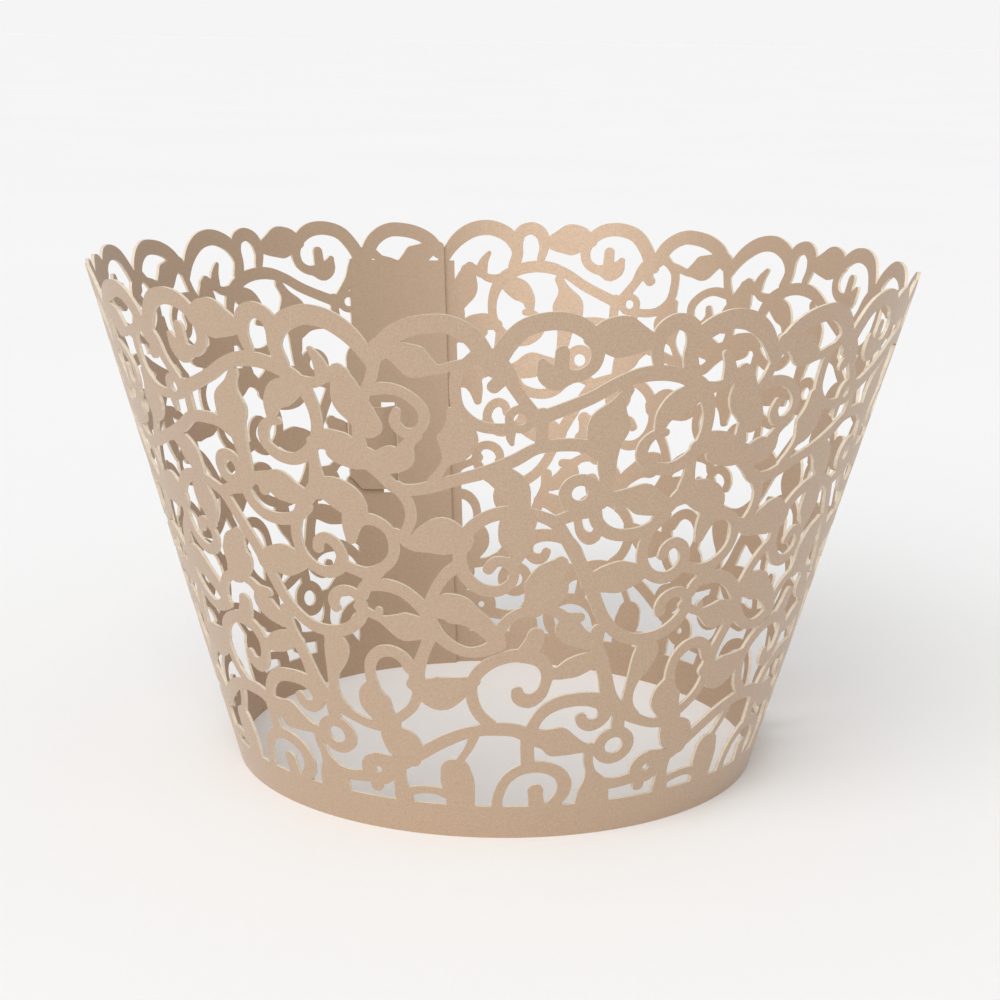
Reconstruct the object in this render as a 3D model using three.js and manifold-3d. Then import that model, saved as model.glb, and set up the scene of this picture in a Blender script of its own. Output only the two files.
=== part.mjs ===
// Cupcake wrapper: one sheet of card, cut into a vine filigree and rolled into a cone.
// Millimetres, +Z up. The origin is the middle of the ring that the bottom edge stands on,
// and the front of the cup faces -Y. The ends of the sheet meet at the back.

import * as THREE from "three";
import { mergeVertices } from "three/addons/utils/BufferGeometryUtils.js";
import Module from "manifold-3d";

// Sizes of the rolled cup.
const BOTTOM_DIAMETER = 50; // outside, at the bottom edge
const WALL_LEAN = 15.69; // degrees that the wall leans out from upright
const CARD = 0.3; // thickness of the card
const REPEATS = 7; // times that the motif stands round the cup

// Sizes of the cutting.
const VINE = 1; // width of a plain stem; every stem and leaf below is a multiple of it
const BAND_HEIGHT = 3.35; // uncut band along the bottom edge
const TRACE_STEP = 0.45; // spacing of the samples along a stem before it is thinned
const FEWEST_STEPS = 4; // along the shortest stem
const SMALLEST_CORNER = 0.88; // square millimetres that a corner of the faceted outline must cut off
const FEWEST_CORNERS = 6; // of any hole
const WIDEST_FACET = 8; // degrees of the round wall that one facet may span

// Sizes of the seam at the back.
const OVERLAP = 6; // width of the strip that lies over the other end
const STRIP_HEIGHT = 44.8; // height of the uncut end strips up the wall
const STRIP_INSET = 1.2; // how far the upper strip reaches back into its own lace
const STRIP_MARGIN = 3.2; // uncut card beyond the slit
const PLY_GAP = 0.12; // air between the two plies
const LIFT_RUN = 16; // length of wall over which the upper ply rises off the lower one
const TAB_WIDTH = 9; // along the seam
const TAB_LENGTH = 6;
const TAB_MIDDLE = 24; // height up the wall of the tab's centre line
const SLIT_WIDTH = 1.8;
const SLIT_CLEARANCE = 0.5; // room at each end of the slit
const TAB_CORNER = 1.5; // cut off each corner of the tab's end
const TAB_ENTRY = 0.25; // room between the bends of the tab and the edges of the slit
const TAB_BENDS = [OVERLAP + TAB_ENTRY, OVERLAP + SLIT_WIDTH - TAB_ENTRY];

const LEAN = THREE.MathUtils.degToRad(WALL_LEAN);
const BOTTOM_RADIUS = BOTTOM_DIAMETER / 2;
const FLAT_RADIUS = BOTTOM_RADIUS / Math.sin(LEAN); // bottom edge of the sheet laid flat
const MOTIF_ANGLE = (2 * Math.PI * Math.sin(LEAN)) / REPEATS;

// The motif, drawn on the flat sheet. The y axis is its middle line, y is 0 on the bottom edge,
// and every point is [x, y, width], with the width in vine widths and kept from the point before
// where it isn't given. A stem is a smooth line through its points.
const STEMS = [
  // Scalloped top edge.
  {
    name: "arch_left",
    points: [
      [-16.2, 44.9, 1.55], [-15.2, 46.4], [-13.9, 47.3], [-12.4, 47.8], [-11, 47.95], [-9.8, 47.6],
      [-8.7, 46.8], [-7.8, 45.4],
    ],
  },
  {
    name: "arch_middle",
    points: [
      [-7.2, 44.6, 1.5], [-6.2, 46.7], [-5, 48.1], [-3, 48.75], [-1.1, 48.5], [0.3, 47.4, 1.3],
      [0.75, 46.2, 1.1], [0.5, 45, 1], [-0.4, 44.3], [-1.6, 44.1, 1.2],
    ],
  },
  {
    name: "scroll_leaf",
    points: [
      [-1.5, 44.1, 1.4], [-2.3, 43.95, 2], [-3, 44.4, 1.8], [-3.5, 45.3, 0.7],
    ],
  },
  {
    name: "scroll_bud",
    points: [
      [-2, 44.4, 1.2], [-2, 46.2, 1.1],
    ],
  },
  {
    name: "arch_leaf",
    points: [
      [0.3, 47.4, 1.6], [1.3, 47.5, 2.9], [2.6, 47.4, 3.5], [4, 47.1, 2.4], [5.2, 46.9, 1.2],
    ],
  },
  {
    name: "arch_small",
    points: [
      [5.75, 45, 0.9], [5.5, 46.4, 1.1], [5.9, 47.8, 1.4], [7, 48.4, 1.4], [8.2, 47.9, 1.4],
      [8.5, 46.8, 1.2], [8.4, 45.4, 1.2], [8.6, 44, 1.2],
    ],
  },
  {
    name: "arch_right",
    points: [
      [8.8, 44, 1.1], [8.5, 45.6, 1.2], [9.4, 47.2, 1.6], [11.5, 48.05, 1.7], [13.5, 47.7, 1.7],
      [15, 46.6, 1.6], [16, 45.2, 1.3], [16.6, 43.8, 1],
    ],
  },
  // Upper diagonal and its loop.
  {
    name: "diagonal_upper",
    points: [
      [-3.8, 40.4, 1.2], [-1, 41.6, 1.1], [0.8, 42.45], [2.6, 43.5], [4.5, 44.1, 1.3], [6.5, 44.1, 1.3],
      [8.4, 43.5, 1.3], [9.7, 42.5, 1.5], [10.5, 41.2, 1.2], [10.75, 39.5, 1], [10.4, 37.7, 1],
      [9.3, 36.3, 1.1], [7.8, 35.6, 1.1], [6.2, 35.9, 1.1], [5.2, 36.9, 1], [5.3, 38, 1],
      [6, 38.75, 0.8], [7, 38.9, 0.7],
    ],
  },
  {
    name: "loop_leaf",
    points: [
      [6.4, 39.1, 0.8], [6.8, 40.4, 1.6], [7.8, 41.3, 2.4], [9, 41.9, 2], [9.8, 42.4, 1.2],
    ],
  },
  {
    name: "inner_leaf",
    points: [
      [3.5, 42.9, 0.9], [2.9, 41.9, 1.2], [2.3, 40.2, 3.4], [2.1, 38.9, 3.2], [2.3, 37.3, 1.8],
      [2.4, 35.8, 1.4],
    ],
  },
  {
    name: "stem_down",
    points: [
      [2.3, 37.4, 1.5], [2.45, 36, 1.3], [2.4, 34.6, 1.3], [2, 33.2, 1.6],
    ],
  },
  {
    name: "leaf_link",
    points: [
      [0.5, 38.2, 1.1], [2.2, 37.6, 1.2],
    ],
  },
  // Left upper scrolls.
  {
    name: "stem_left",
    points: [
      [-7.4, 45.6, 1.4], [-6.2, 44.4, 1.4], [-5.4, 43, 1], [-4.6, 41.9, 1], [-3.9, 40.9, 1.2],
    ],
  },
  {
    name: "stem_bud",
    points: [
      [-6.3, 44, 1.2], [-7.05, 43.1, 1.1],
    ],
  },
  {
    name: "crescent",
    points: [
      [-4.9, 39.9, 0.9], [-6.3, 39.55, 0.9], [-8.2, 39.75, 0.95], [-9.6, 40.9, 0.95], [-10, 42.4, 0.9],
      [-9.95, 44, 0.9], [-9.1, 45.1, 0.9], [-8.2, 45.8, 1.4],
    ],
  },
  {
    name: "beak",
    points: [
      [-5.5, 39.8, 0.9], [-5.5, 38.8, 0.7], [-5.35, 38.3, 0.4],
    ],
  },
  {
    name: "link_middle",
    points: [
      [-3.15, 41, 1], [-3.1, 39.8, 0.95], [-3.1, 38.2, 1],
    ],
  },
  {
    name: "corner_leaf",
    points: [
      [-16, 45.6, 1.2], [-14.6, 45.1, 2], [-13.2, 44.5, 2.8], [-12, 44.2, 1.4], [-11.4, 44.1, 0.8],
      [-10.4, 44.5, 0.8], [-9.4, 44.8, 0.9],
    ],
  },
  {
    name: "scroll_left",
    points: [
      [-16.8, 41.6, 1.1], [-15, 41.95, 0.95], [-13.5, 41.5, 0.9], [-12.4, 40.4, 0.9],
      [-12.4, 39.2, 0.8], [-13.1, 38.4, 0.9], [-14, 38.4, 0.9], [-14.65, 39.2, 0.9],
      [-14.55, 40.1, 0.7],
    ],
  },
  {
    name: "scroll_left_leaf",
    points: [
      [-12.8, 38.2, 0.8], [-13.5, 37.4, 1], [-14, 36.1, 2.2], [-15, 35.7, 2.4], [-16.2, 35.3, 1.6],
    ],
  },
  {
    name: "pear",
    points: [
      [-10.2, 40.7, 0.8], [-9.9, 39.9, 1.5], [-9.6, 38.4, 3.3], [-9.9, 37.1, 2.3], [-10.4, 36.2, 0.8],
      [-10.8, 35.4, 0.7], [-11.3, 34.4, 1],
    ],
  },
  // Lower diagonal.
  {
    name: "diagonal_lower",
    points: [
      [-16.9, 35.4, 1.5], [-15.6, 34.3, 1.1], [-14.3, 33.3, 1.1], [-12.8, 33.4, 1], [-11.2, 34, 1.1],
      [-9.4, 34.8, 1], [-7.2, 35.7, 1.1], [-5, 36.9, 1.1], [-3.4, 37.95, 1], [-1.5, 38.3, 1.1],
      [0.4, 38.15, 1.1], [1.7, 37.4, 1.1],
    ],
  },
  {
    name: "diagonal_leaf",
    points: [
      [-6.9, 35.4, 1.2], [-5.7, 35, 2.4], [-4.9, 34.2, 2.6], [-4.4, 33.1, 1.8], [-4.3, 32.1, 1.6],
    ],
  },
  {
    name: "border_stem",
    points: [
      [-16.3, 45.4, 1.2], [-16.5, 43.8, 0.9], [-16.75, 42.3, 0.9], [-17.25, 40.9, 0.95], [-17.6, 39, 1],
      [-17.5, 37, 1], [-17, 35.4, 1.2],
    ],
  },
  {
    name: "right_leaf",
    points: [
      [13.6, 43.4, 1.2], [13.8, 42.4, 2.1], [14, 40.9, 2.9], [14.6, 39.8, 2.6], [15.2, 38.6, 2.2],
    ],
  },
  {
    name: "right_stem",
    points: [
      [9.9, 42.4, 1.2], [11.5, 42.4, 0.9], [12.8, 43.2, 1], [13.9, 43, 1.4],
    ],
  },
  {
    name: "right_bud",
    points: [
      [12.3, 43, 1.4], [12.1, 44.2, 1], [11.6, 45.2, 0.5],
    ],
  },
  {
    name: "cross_leaf",
    points: [
      [10, 37.2, 1.2], [11.2, 37.4, 2], [12.2, 36.8, 2.9], [13.4, 36.1, 2.6], [14.8, 35.6, 1.8],
      [15.8, 35, 1.6],
    ],
  },
  {
    name: "column",
    points: [
      [9.6, 36.6, 1], [9.6, 35, 1], [9.5, 33.6, 1.6],
    ],
  },
  {
    name: "hook_leaf",
    points: [
      [8.2, 32.3, 1], [9.6, 33, 2], [11, 32.7, 2.8], [12, 31.9, 2.8], [12.2, 30.8, 2.3],
      [11.7, 29.7, 1.6], [11.4, 28.5, 0.9],
    ],
  },
  // Middle.
  {
    name: "step_stem",
    points: [
      [-14.2, 33.4, 1.1], [-13.3, 32.2, 0.9], [-13, 31, 0.9], [-13.2, 29.8, 0.9], [-13.6, 29, 1],
    ],
  },
  {
    name: "long_leaf",
    points: [
      [-14.2, 29.2, 0.8], [-12.9, 28.6, 1.5], [-11.5, 29.1, 2.7], [-10.3, 29.5, 3.5], [-9.1, 29.3, 2.6],
    ],
  },
  {
    name: "scroll_middle",
    points: [
      [-4.3, 32.3, 1.3], [-6.4, 31.9, 1.15], [-8, 30.7, 1.1], [-8.75, 29.1, 1.1], [-8.85, 27.4, 1.1],
      [-8.2, 25.9, 1.1], [-6.9, 24.95, 1.1], [-5.5, 24.95, 1], [-4.55, 25.8, 0.85], [-4.45, 26.9, 0.85],
      [-5.1, 27.6, 0.9], [-6, 27.6, 0.95], [-6.5, 26.9, 0.95],
    ],
  },
  {
    name: "drop_leaf",
    points: [
      [-4.6, 32, 2], [-4.65, 31, 2.6], [-4.4, 29.8, 2.9], [-4.25, 28.8, 2], [-4.3, 27.8, 0.9],
    ],
  },
  {
    name: "trunk",
    points: [
      [-4, 32.3, 1], [-2.6, 31.9, 1], [-1.4, 31.3, 1.1], [-0.5, 30, 1.1], [0.3, 28.6, 1.1],
      [1.2, 27, 1.2], [1.9, 25.5, 1.2], [2.5, 24, 1.1], [3.2, 22.4, 1.1], [4.2, 21, 1.1],
      [5.6, 19.95, 1.1], [7.2, 19.6, 1.1], [9, 19.9, 1.1], [10.4, 20.9, 1.1], [11.05, 22.2, 0.9],
      [10.6, 23.4, 0.9], [9.7, 23.65, 0.95], [8.8, 23.3, 1], [8.35, 22.5, 0.95], [8.45, 21.95, 0.9],
    ],
  },
  {
    name: "trunk_leaf",
    points: [
      [-0.7, 27.6, 1.3], [-1.5, 26.4, 2.9], [-1.7, 25.3, 3.7], [-2.1, 24.3, 3.1], [-2.6, 23.5, 2],
    ],
  },
  {
    name: "ring_link",
    points: [
      [-1.4, 31.5, 1], [0.2, 32.1, 1.1], [1.7, 32.4, 1.2],
    ],
  },
  {
    name: "smile",
    points: [
      [1.7, 32.5, 1.1], [2, 31.3, 1.1], [3.2, 30.2, 1.1], [5, 29.9, 1.1], [6.6, 30.3, 1.1],
      [7.8, 31.3, 1.2],
    ],
  },
  {
    name: "smile_leaf",
    points: [
      [3, 33.4, 1.1], [4.2, 33.4, 1.6], [5.6, 33.1, 2.8], [6.9, 32.5, 2.2], [8.2, 32.2, 1.2],
    ],
  },
  {
    name: "smile_bud",
    points: [
      [3.8, 33.3, 1], [3.8, 32.4, 0.9],
    ],
  },
  {
    name: "scroll_right",
    points: [
      [8.3, 32.3, 1.2], [7.2, 31, 1], [6.4, 29.5, 0.95], [6.15, 28, 0.95], [6.5, 26.6, 1],
      [7.4, 25.65, 1.05], [8.6, 25.3, 1.1], [9.7, 25.8, 1.1], [10.2, 26.9, 1], [9.8, 28.1, 1],
      [9, 28.55, 1], [8.3, 28.2, 0.95], [8.05, 27.5, 0.9],
    ],
  },
  {
    name: "scroll_right_leaf",
    points: [
      [2, 25.6, 1.8], [3.2, 25.9, 2.6], [4.4, 26, 3], [5.6, 26.1, 2.2], [6.6, 26.2, 1.2],
    ],
  },
  {
    name: "ring_right",
    points: [
      [12.6, 30.4, 1.2], [13.9, 30.2, 1], [14.9, 29.3, 0.95], [15.1, 28.1, 0.9], [14.7, 26.8, 0.9],
      [13.6, 25.8, 1], [12.2, 25.35, 1.1], [10.9, 25.75, 1], [10, 26.2, 1.2],
    ],
  },
  // Second row of stems.
  {
    name: "wave",
    points: [
      [-16.9, 22.5, 1], [-16.6, 23.5, 1.1], [-15, 24.05, 1.2], [-13.6, 23.9, 1.2], [-12.4, 23.2, 1.2],
      [-11.4, 22.2, 1.2], [-10.8, 21, 1.2], [-10, 19.9, 1.1], [-8.8, 19.1, 1], [-7.6, 18.8, 0.95],
      [-6.4, 19.1, 1.1], [-5.3, 19.8, 1.4],
    ],
  },
  {
    name: "wave_link",
    points: [
      [-8.9, 27, 1.1], [-9.9, 26, 1], [-10.6, 24.7, 0.95], [-11, 23.4, 1], [-11.2, 22.3, 1.1],
    ],
  },
  {
    name: "ring_foot",
    points: [
      [-15.5, 25.2, 1], [-16.3, 24.2, 1.2],
    ],
  },
  {
    name: "wave_leaf",
    points: [
      [-11, 22.4, 1.4], [-9.8, 22.9, 2.6], [-8.7, 22.75, 2.8], [-7.6, 22.2, 2], [-6.5, 21.4, 1.7],
      [-5.4, 20.2, 1.4],
    ],
  },
  {
    name: "dome",
    points: [
      [-5.5, 19.8, 1.3], [-5.2, 21.2, 1], [-4.4, 22.4, 0.9], [-3.2, 23.1, 0.95], [-1.9, 23.3, 0.95],
      [-0.7, 23, 0.9], [0.3, 22.2, 1.2],
    ],
  },
  {
    name: "dome_bud",
    points: [
      [0.4, 22.3, 1.2], [1.3, 22.4, 0.9],
    ],
  },
  {
    name: "dome_leaf",
    points: [
      [0.3, 22.2, 1.4], [0.4, 21.4, 2.2], [1, 20.7, 2.1], [2.3, 19.9, 1.4],
    ],
  },
  {
    name: "crook",
    points: [
      [-2.9, 18.9, 1.7], [-2.4, 19.9, 1.6], [-2.2, 20.8, 1.4],
    ],
  },
  {
    name: "bud_leaf",
    points: [
      [-17.2, 21.4, 0.9], [-16.2, 21, 0.8], [-15.2, 20.7, 0.7], [-14.2, 20.5, 1.7], [-13.2, 20.4, 2.7],
      [-12.2, 20.5, 2.4], [-11.2, 20.6, 1.8],
    ],
  },
  {
    name: "bud",
    points: [
      [-15.4, 20.9, 0.6], [-15.4, 21.5, 0.65],
    ],
  },
  // Lower rows.
  {
    name: "trunk_foot",
    points: [
      [3, 21, 1.2], [3, 19.6, 1.1], [3.5, 18, 1.2], [4, 16.5, 1.2], [4.3, 15.2, 1.3], [4.7, 14, 1.4],
      [5.4, 12.9, 1.5], [6.3, 12.2, 1.3], [7.6, 11.3, 1], [9, 10.6, 0.9], [10.4, 10.4, 1.2],
    ],
  },
  {
    name: "side_leaf",
    points: [
      [7.4, 19.3, 1.6], [7.6, 18.2, 2.3], [7.2, 16.9, 2], [6.6, 15.4, 1.1], [6.35, 14, 0.9],
      [6.5, 12.8, 1], [7.2, 11.7, 1],
    ],
  },
  {
    name: "great_scroll",
    points: [
      [-5.4, 11.7, 1.1], [-6.5, 12.8, 1], [-7.1, 14.2, 1], [-7.2, 15.8, 1], [-6.6, 17.1, 1.1],
      [-5.5, 18.1, 1.1], [-4.1, 18.7, 1.2], [-2.8, 18.7, 1.3], [-1.6, 18.2, 1.2], [-1, 17.1, 1.1],
      [-1.1, 15.9, 0.9], [-1.5, 14.9, 1.1], [-2.4, 14.3, 1.4], [-3.2, 14.6, 1.3], [-3.4, 15.2, 1],
    ],
  },
  {
    name: "hidden_leaf",
    points: [
      [3.6, 18, 1.2], [2.4, 18, 1.8], [1.1, 17.5, 2], [-0.2, 17, 1.2], [-1, 17.1, 1.1],
    ],
  },
  {
    name: "frame_leaf",
    points: [
      [-12.1, 14.9, 1.3], [-11, 14.5, 2.6], [-9.9, 14.4, 3.4], [-8.8, 14.9, 2.7], [-7.7, 15.6, 1.6],
      [-7, 16, 1],
    ],
  },
  {
    name: "frame_stem",
    points: [
      [-10.8, 20.2, 1.2], [-11.3, 18.6, 1], [-11.7, 17, 1.1], [-11.9, 15.4, 1.3], [-11.75, 14, 0.9],
      [-12.1, 12.6, 0.9], [-12.9, 11.5, 0.9], [-14, 10.4, 1],
    ],
  },
  {
    name: "frame_arch",
    points: [
      [10.3, 14.6, 1], [10.3, 15.8, 0.9], [10.7, 17, 1], [11.6, 17.8, 1.1], [12.7, 17.9, 1.1],
      [13.6, 17.3, 1.1], [14.1, 16.2, 1.2],
    ],
  },
  {
    name: "seed_upper",
    points: [
      [11.2, 10.6, 1.6], [10.6, 11.6, 2.3], [10.15, 12.8, 2.9], [10.05, 13.7, 2.4], [10.3, 14.7, 1.1],
    ],
  },
  {
    name: "seed_lower",
    points: [
      [10.8, 10.4, 1.5], [11.2, 9.5, 2.6], [11.8, 8.6, 3.3], [12.3, 7.7, 2.6], [12.4, 7, 1.4],
    ],
  },
  {
    name: "ramp",
    points: [
      [-15, 6.2, 1.4], [-12.9, 6.4, 1.3], [-11.6, 7.5, 1.2], [-10.2, 8.75, 1.15], [-8.9, 9.8, 1.15],
      [-7.6, 10.6, 1.1], [-6.2, 11.1, 1.1], [-4.8, 11.35, 1.3], [-3.4, 11.3, 1.3], [-2.1, 10.8, 1.4],
    ],
  },
  {
    name: "ramp_link",
    points: [
      [-6.7, 10.6, 0.9], [-7.1, 9.2, 0.7], [-7.7, 7.9, 0.7], [-8, 7, 1.2],
    ],
  },
  {
    name: "foot_seed",
    points: [
      [-8.1, 6.6, 2.6], [-7.9, 5.6, 2.9], [-7.6, 4.4, 2.6], [-7.5, 3, 2.4],
    ],
  },
  {
    name: "foot_arch",
    points: [
      [-12.9, 3, 0.9], [-11.6, 3.85, 0.8], [-10, 4.25, 0.75], [-8.6, 4, 0.9], [-7.4, 3.2, 1],
    ],
  },
  {
    name: "foot_scroll",
    points: [
      [-4.4, 2.6, 0.9], [-4.3, 4.4, 0.9], [-3.8, 6, 0.9], [-2.8, 7.05, 1], [-1.5, 7.5, 1.15],
      [-0.3, 7.35, 1.15], [0.8, 6.7, 1.2], [1.35, 5.6, 1.25], [1.2, 4.5, 1.2], [0.6, 3.6, 1.1],
      [0, 2.8, 1.2],
    ],
  },
  {
    name: "foot_bud",
    points: [
      [-0.8, 2.8, 1.6], [-1.05, 4.1, 1.3], [-1.15, 5, 1.35],
    ],
  },
  {
    name: "foot_post",
    points: [
      [-2.2, 10.6, 1.2], [-2.15, 9.2, 1.15], [-2, 7.8, 1.2],
    ],
  },
  {
    name: "heart_leaf",
    points: [
      [-2.1, 10.6, 1.6], [-0.9, 10.4, 1.9], [0.3, 10.05, 3], [1.5, 9.6, 2.1], [2.8, 9.2, 1], [4, 9, 1],
    ],
  },
  {
    name: "low_arch",
    points: [
      [-2, 10.9, 1.3], [-1.7, 12.1, 1], [-1, 13.2, 1.1], [0.2, 14, 1.3], [1.6, 14.25, 1.3],
      [3, 14.15, 1.4], [4.2, 13.6, 1.6], [4.4, 12.6, 1.3], [4, 11.8, 1.1], [3.2, 11.5, 1.2],
      [2.5, 11.8, 1.1], [2.25, 12.35, 1],
    ],
  },
  {
    name: "ring_post",
    points: [
      [5.7, 12.2, 1.1], [5.7, 11, 1.2],
    ],
  },
  {
    name: "ring_prop",
    points: [
      [3.3, 9.2, 0.9], [3.3, 7.8, 0.8], [3.6, 6.6, 0.9], [4, 5, 2.6], [4, 3, 3.2],
    ],
  },
  {
    name: "base_beam",
    points: [
      [4.2, 5.2, 1.4], [6, 4.95, 1.1], [7.8, 5.1, 1.2],
    ],
  },
  {
    name: "base_tooth",
    points: [
      [8.5, 5, 1.2], [8.4, 4.1, 1.1],
    ],
  },
  {
    name: "base_side",
    points: [
      [11, 6.4, 1.2], [10.8, 5, 1.1], [10.8, 3, 1.6],
    ],
  },
];

// Round eyelets: [x, y, outer radius, hole radius].
const EYELETS = [
  { name: "ring_upper", at: [0.35, 34], outer: 1.7, hole: 0.68 },
  { name: "ring_lower", at: [5.5, 9.05], outer: 1.9, hole: 0.83 },
  { name: "eye_upper", at: [-4.85, 40.45], outer: 1.2, hole: 0.5 },
  { name: "eye_lower", at: [8.95, 5.9], outer: 1.6, hole: 0.34 },
];

const ENDS_ANGLE = (REPEATS * MOTIF_ANGLE) / 2; // flat angle from the middle of the sheet to its joint line
const MIDDLE_TURN = THREE.MathUtils.degToRad(11.1); // the middle motif stands this far round from -Y
const BLANK_DEPTH = 1; // thickness of the flat blanks while they are joined
const SMALLEST_HOLE = 0.2; // square millimetres; anything smaller is a crumb of the joining
const MERGE_WITHIN = 1e-5; // corners of a blank that are the same point
const BLANK_HEIGHT = 60; // a cutting blank reaches higher than the lace
const FLAT_STEP = 3; // spacing of the corners along the round edges of a flat blank
const STRIP_FOOT = 0.02; // the end strips start this far above the bottom edge, inside the band
const SEAM_COLUMNS = 3; // facets across the overlap
const SEAM_ROWS = 8; // facets up the overlap
const MOST_ROUNDS = 60; // of turning diagonals
const SLIVER = 1e-6; // twice the area of a triangle too thin to keep
const TIP_STEPS = 5; // rows that round off a stem end
const RING_STEPS = 14; // facets of an eyelet's hole

const wasm = await Module();
wasm.setup();

// A point of the flat sheet: height up the wall and flat angle from the middle, both round the apex.
function onSheet(height, angle) {
  const radius = FLAT_RADIUS + height;
  return new THREE.Vector2(radius * Math.sin(angle), radius * Math.cos(angle));
}

// Where a point of the flat sheet lies: its height, its angle and how far it is past the joint line.
function placeOf(point) {
  const radius = point.length();
  const angle = Math.atan2(point.x, point.y);
  return { height: radius - FLAT_RADIUS, angle, past: (angle - ENDS_ANGLE) * radius };
}

// A closed outline on the flat sheet as a solid blank.
function blank(outline) {
  const geometry = new THREE.ExtrudeGeometry(new THREE.Shape(outline), {
    depth: BLANK_DEPTH,
    bevelEnabled: false,
  });
  return solid(geometry);
}

function solid(geometry) {
  geometry.deleteAttribute("normal");
  geometry.deleteAttribute("uv");
  const merged = mergeVertices(geometry, MERGE_WITHIN);
  return new wasm.Manifold(
    new wasm.Mesh({
      numProp: 3,
      vertProperties: merged.attributes.position.array,
      triVerts: new Uint32Array(merged.index.array),
    }),
  );
}

function toGeometry(manifold) {
  const mesh = manifold.getMesh();
  const geometry = new THREE.BufferGeometry();
  geometry.setAttribute("position", new THREE.BufferAttribute(new Float32Array(mesh.vertProperties), 3));
  geometry.setIndex(new THREE.BufferAttribute(new Uint32Array(mesh.triVerts), 1));
  return geometry;
}

// Joins a list of solids in pairs, which keeps each join small.
function joinAll(solids) {
  if (solids.length === 1) return solids[0];
  const half = Math.ceil(solids.length / 2);
  return joinAll(solids.slice(0, half)).add(joinAll(solids.slice(half)));
}

// A stem as a flat ribbon along its smooth centre line, with a round end at each tip.
function stem(points) {
  let width = VINE;
  const knots = points.map(([x, y, w]) => {
    width = w === undefined ? width : w * VINE;
    return new THREE.Vector3(x, FLAT_RADIUS + y, width);
  });
  const curve = new THREE.CatmullRomCurve3(knots, false, "centripetal");
  const steps = Math.max(FEWEST_STEPS, Math.ceil(curve.getLength() / TRACE_STEP));
  const line = curve.getPoints(steps);
  const heading = (i) => {
    const from = line[Math.max(i - 1, 0)];
    const to = line[Math.min(i + 1, steps)];
    return Math.atan2(to.y - from.y, to.x - from.x);
  };
  const rows = line.map((p, i) => ({ x: p.x, y: p.y, half: p.z / 2, heading: heading(i) }));
  return ribbon([...tip(rows[0], -1).reverse(), ...rows, ...tip(rows[steps], 1)]);
}

// Rows that round off a ribbon past its first or last row.
function tip(row, sense) {
  const rows = [];
  for (let k = 1; k < TIP_STEPS; k += 1) {
    const turn = (Math.PI / 2) * (k / TIP_STEPS);
    const reach = sense * row.half * Math.sin(turn);
    rows.push({
      x: row.x + reach * Math.cos(row.heading),
      y: row.y + reach * Math.sin(row.heading),
      half: row.half * Math.cos(turn),
      heading: row.heading,
    });
  }
  return rows;
}

// A closed blank from rows across a ribbon. Each row gives four corners: right and left, low and high.
function ribbon(rows) {
  const corners = [];
  rows.forEach(({ x, y, half, heading }) => {
    const across = { x: -half * Math.sin(heading), y: half * Math.cos(heading) };
    for (const z of [0, BLANK_DEPTH]) {
      corners.push(x - across.x, y - across.y, z, x + across.x, y + across.y, z);
    }
  });
  const faces = [];
  const quad = (a, b, c, d) => faces.push(a, b, c, a, c, d);
  for (let i = 0; i < rows.length - 1; i += 1) {
    const [r, l, R, L] = [0, 1, 2, 3].map((k) => 4 * i + k);
    quad(R, R + 4, L + 4, L);
    quad(r, l, l + 4, r + 4);
    quad(r, r + 4, R + 4, R);
    quad(l, L, L + 4, l + 4);
  }
  const last = 4 * (rows.length - 1);
  quad(0, 2, 3, 1);
  quad(last, last + 1, last + 3, last + 2);
  const vertProperties = new Float32Array(corners);
  const triVerts = new Uint32Array(faces);
  return new wasm.Manifold(new wasm.Mesh({ numProp: 3, vertProperties, triVerts }));
}

function circle([x, y], radius, steps) {
  const turn = (2 * Math.PI) / steps;
  const middle = FLAT_RADIUS + y;
  return Array.from({ length: steps }, (_, i) => {
    return new THREE.Vector2(x + radius * Math.cos(i * turn), middle + radius * Math.sin(i * turn));
  });
}

// A piece of the flat sheet between two heights and two angles, with round long edges.
function sector(low, high, from, to) {
  const steps = Math.ceil(((to - from) * (FLAT_RADIUS + low)) / FLAT_STEP);
  const edge = (height) =>
    Array.from({ length: steps + 1 }, (_, i) => onSheet(height, from + ((to - from) * i) / steps));
  return [...edge(low), ...edge(high).reverse()];
}

// A rectangle whose sides run along and across the wall, measured from a line down the wall.
function plate(angle, left, right, low, high, corner = 0) {
  const place = (across, height) => {
    const local = new THREE.Vector2(across, FLAT_RADIUS + height);
    return local.rotateAround(new THREE.Vector2(), -angle);
  };
  const outline = [place(left, low), place(right - corner, low)];
  if (corner) outline.push(place(right, low + corner), place(right, high - corner));
  else outline.push(place(right, low));
  outline.push(place(right - corner, high), place(left, high));
  return outline;
}

function motif() {
  const stems = STEMS.map(({ points }) => stem(points));
  const rims = EYELETS.map(({ at, outer }) => blank(circle(at, outer, 2 * RING_STEPS)));
  const holes = EYELETS.map(({ at, hole }) => blank(circle(at, hole, RING_STEPS)));
  return joinAll([...stems, ...rims]).subtract(joinAll(holes));
}

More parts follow.
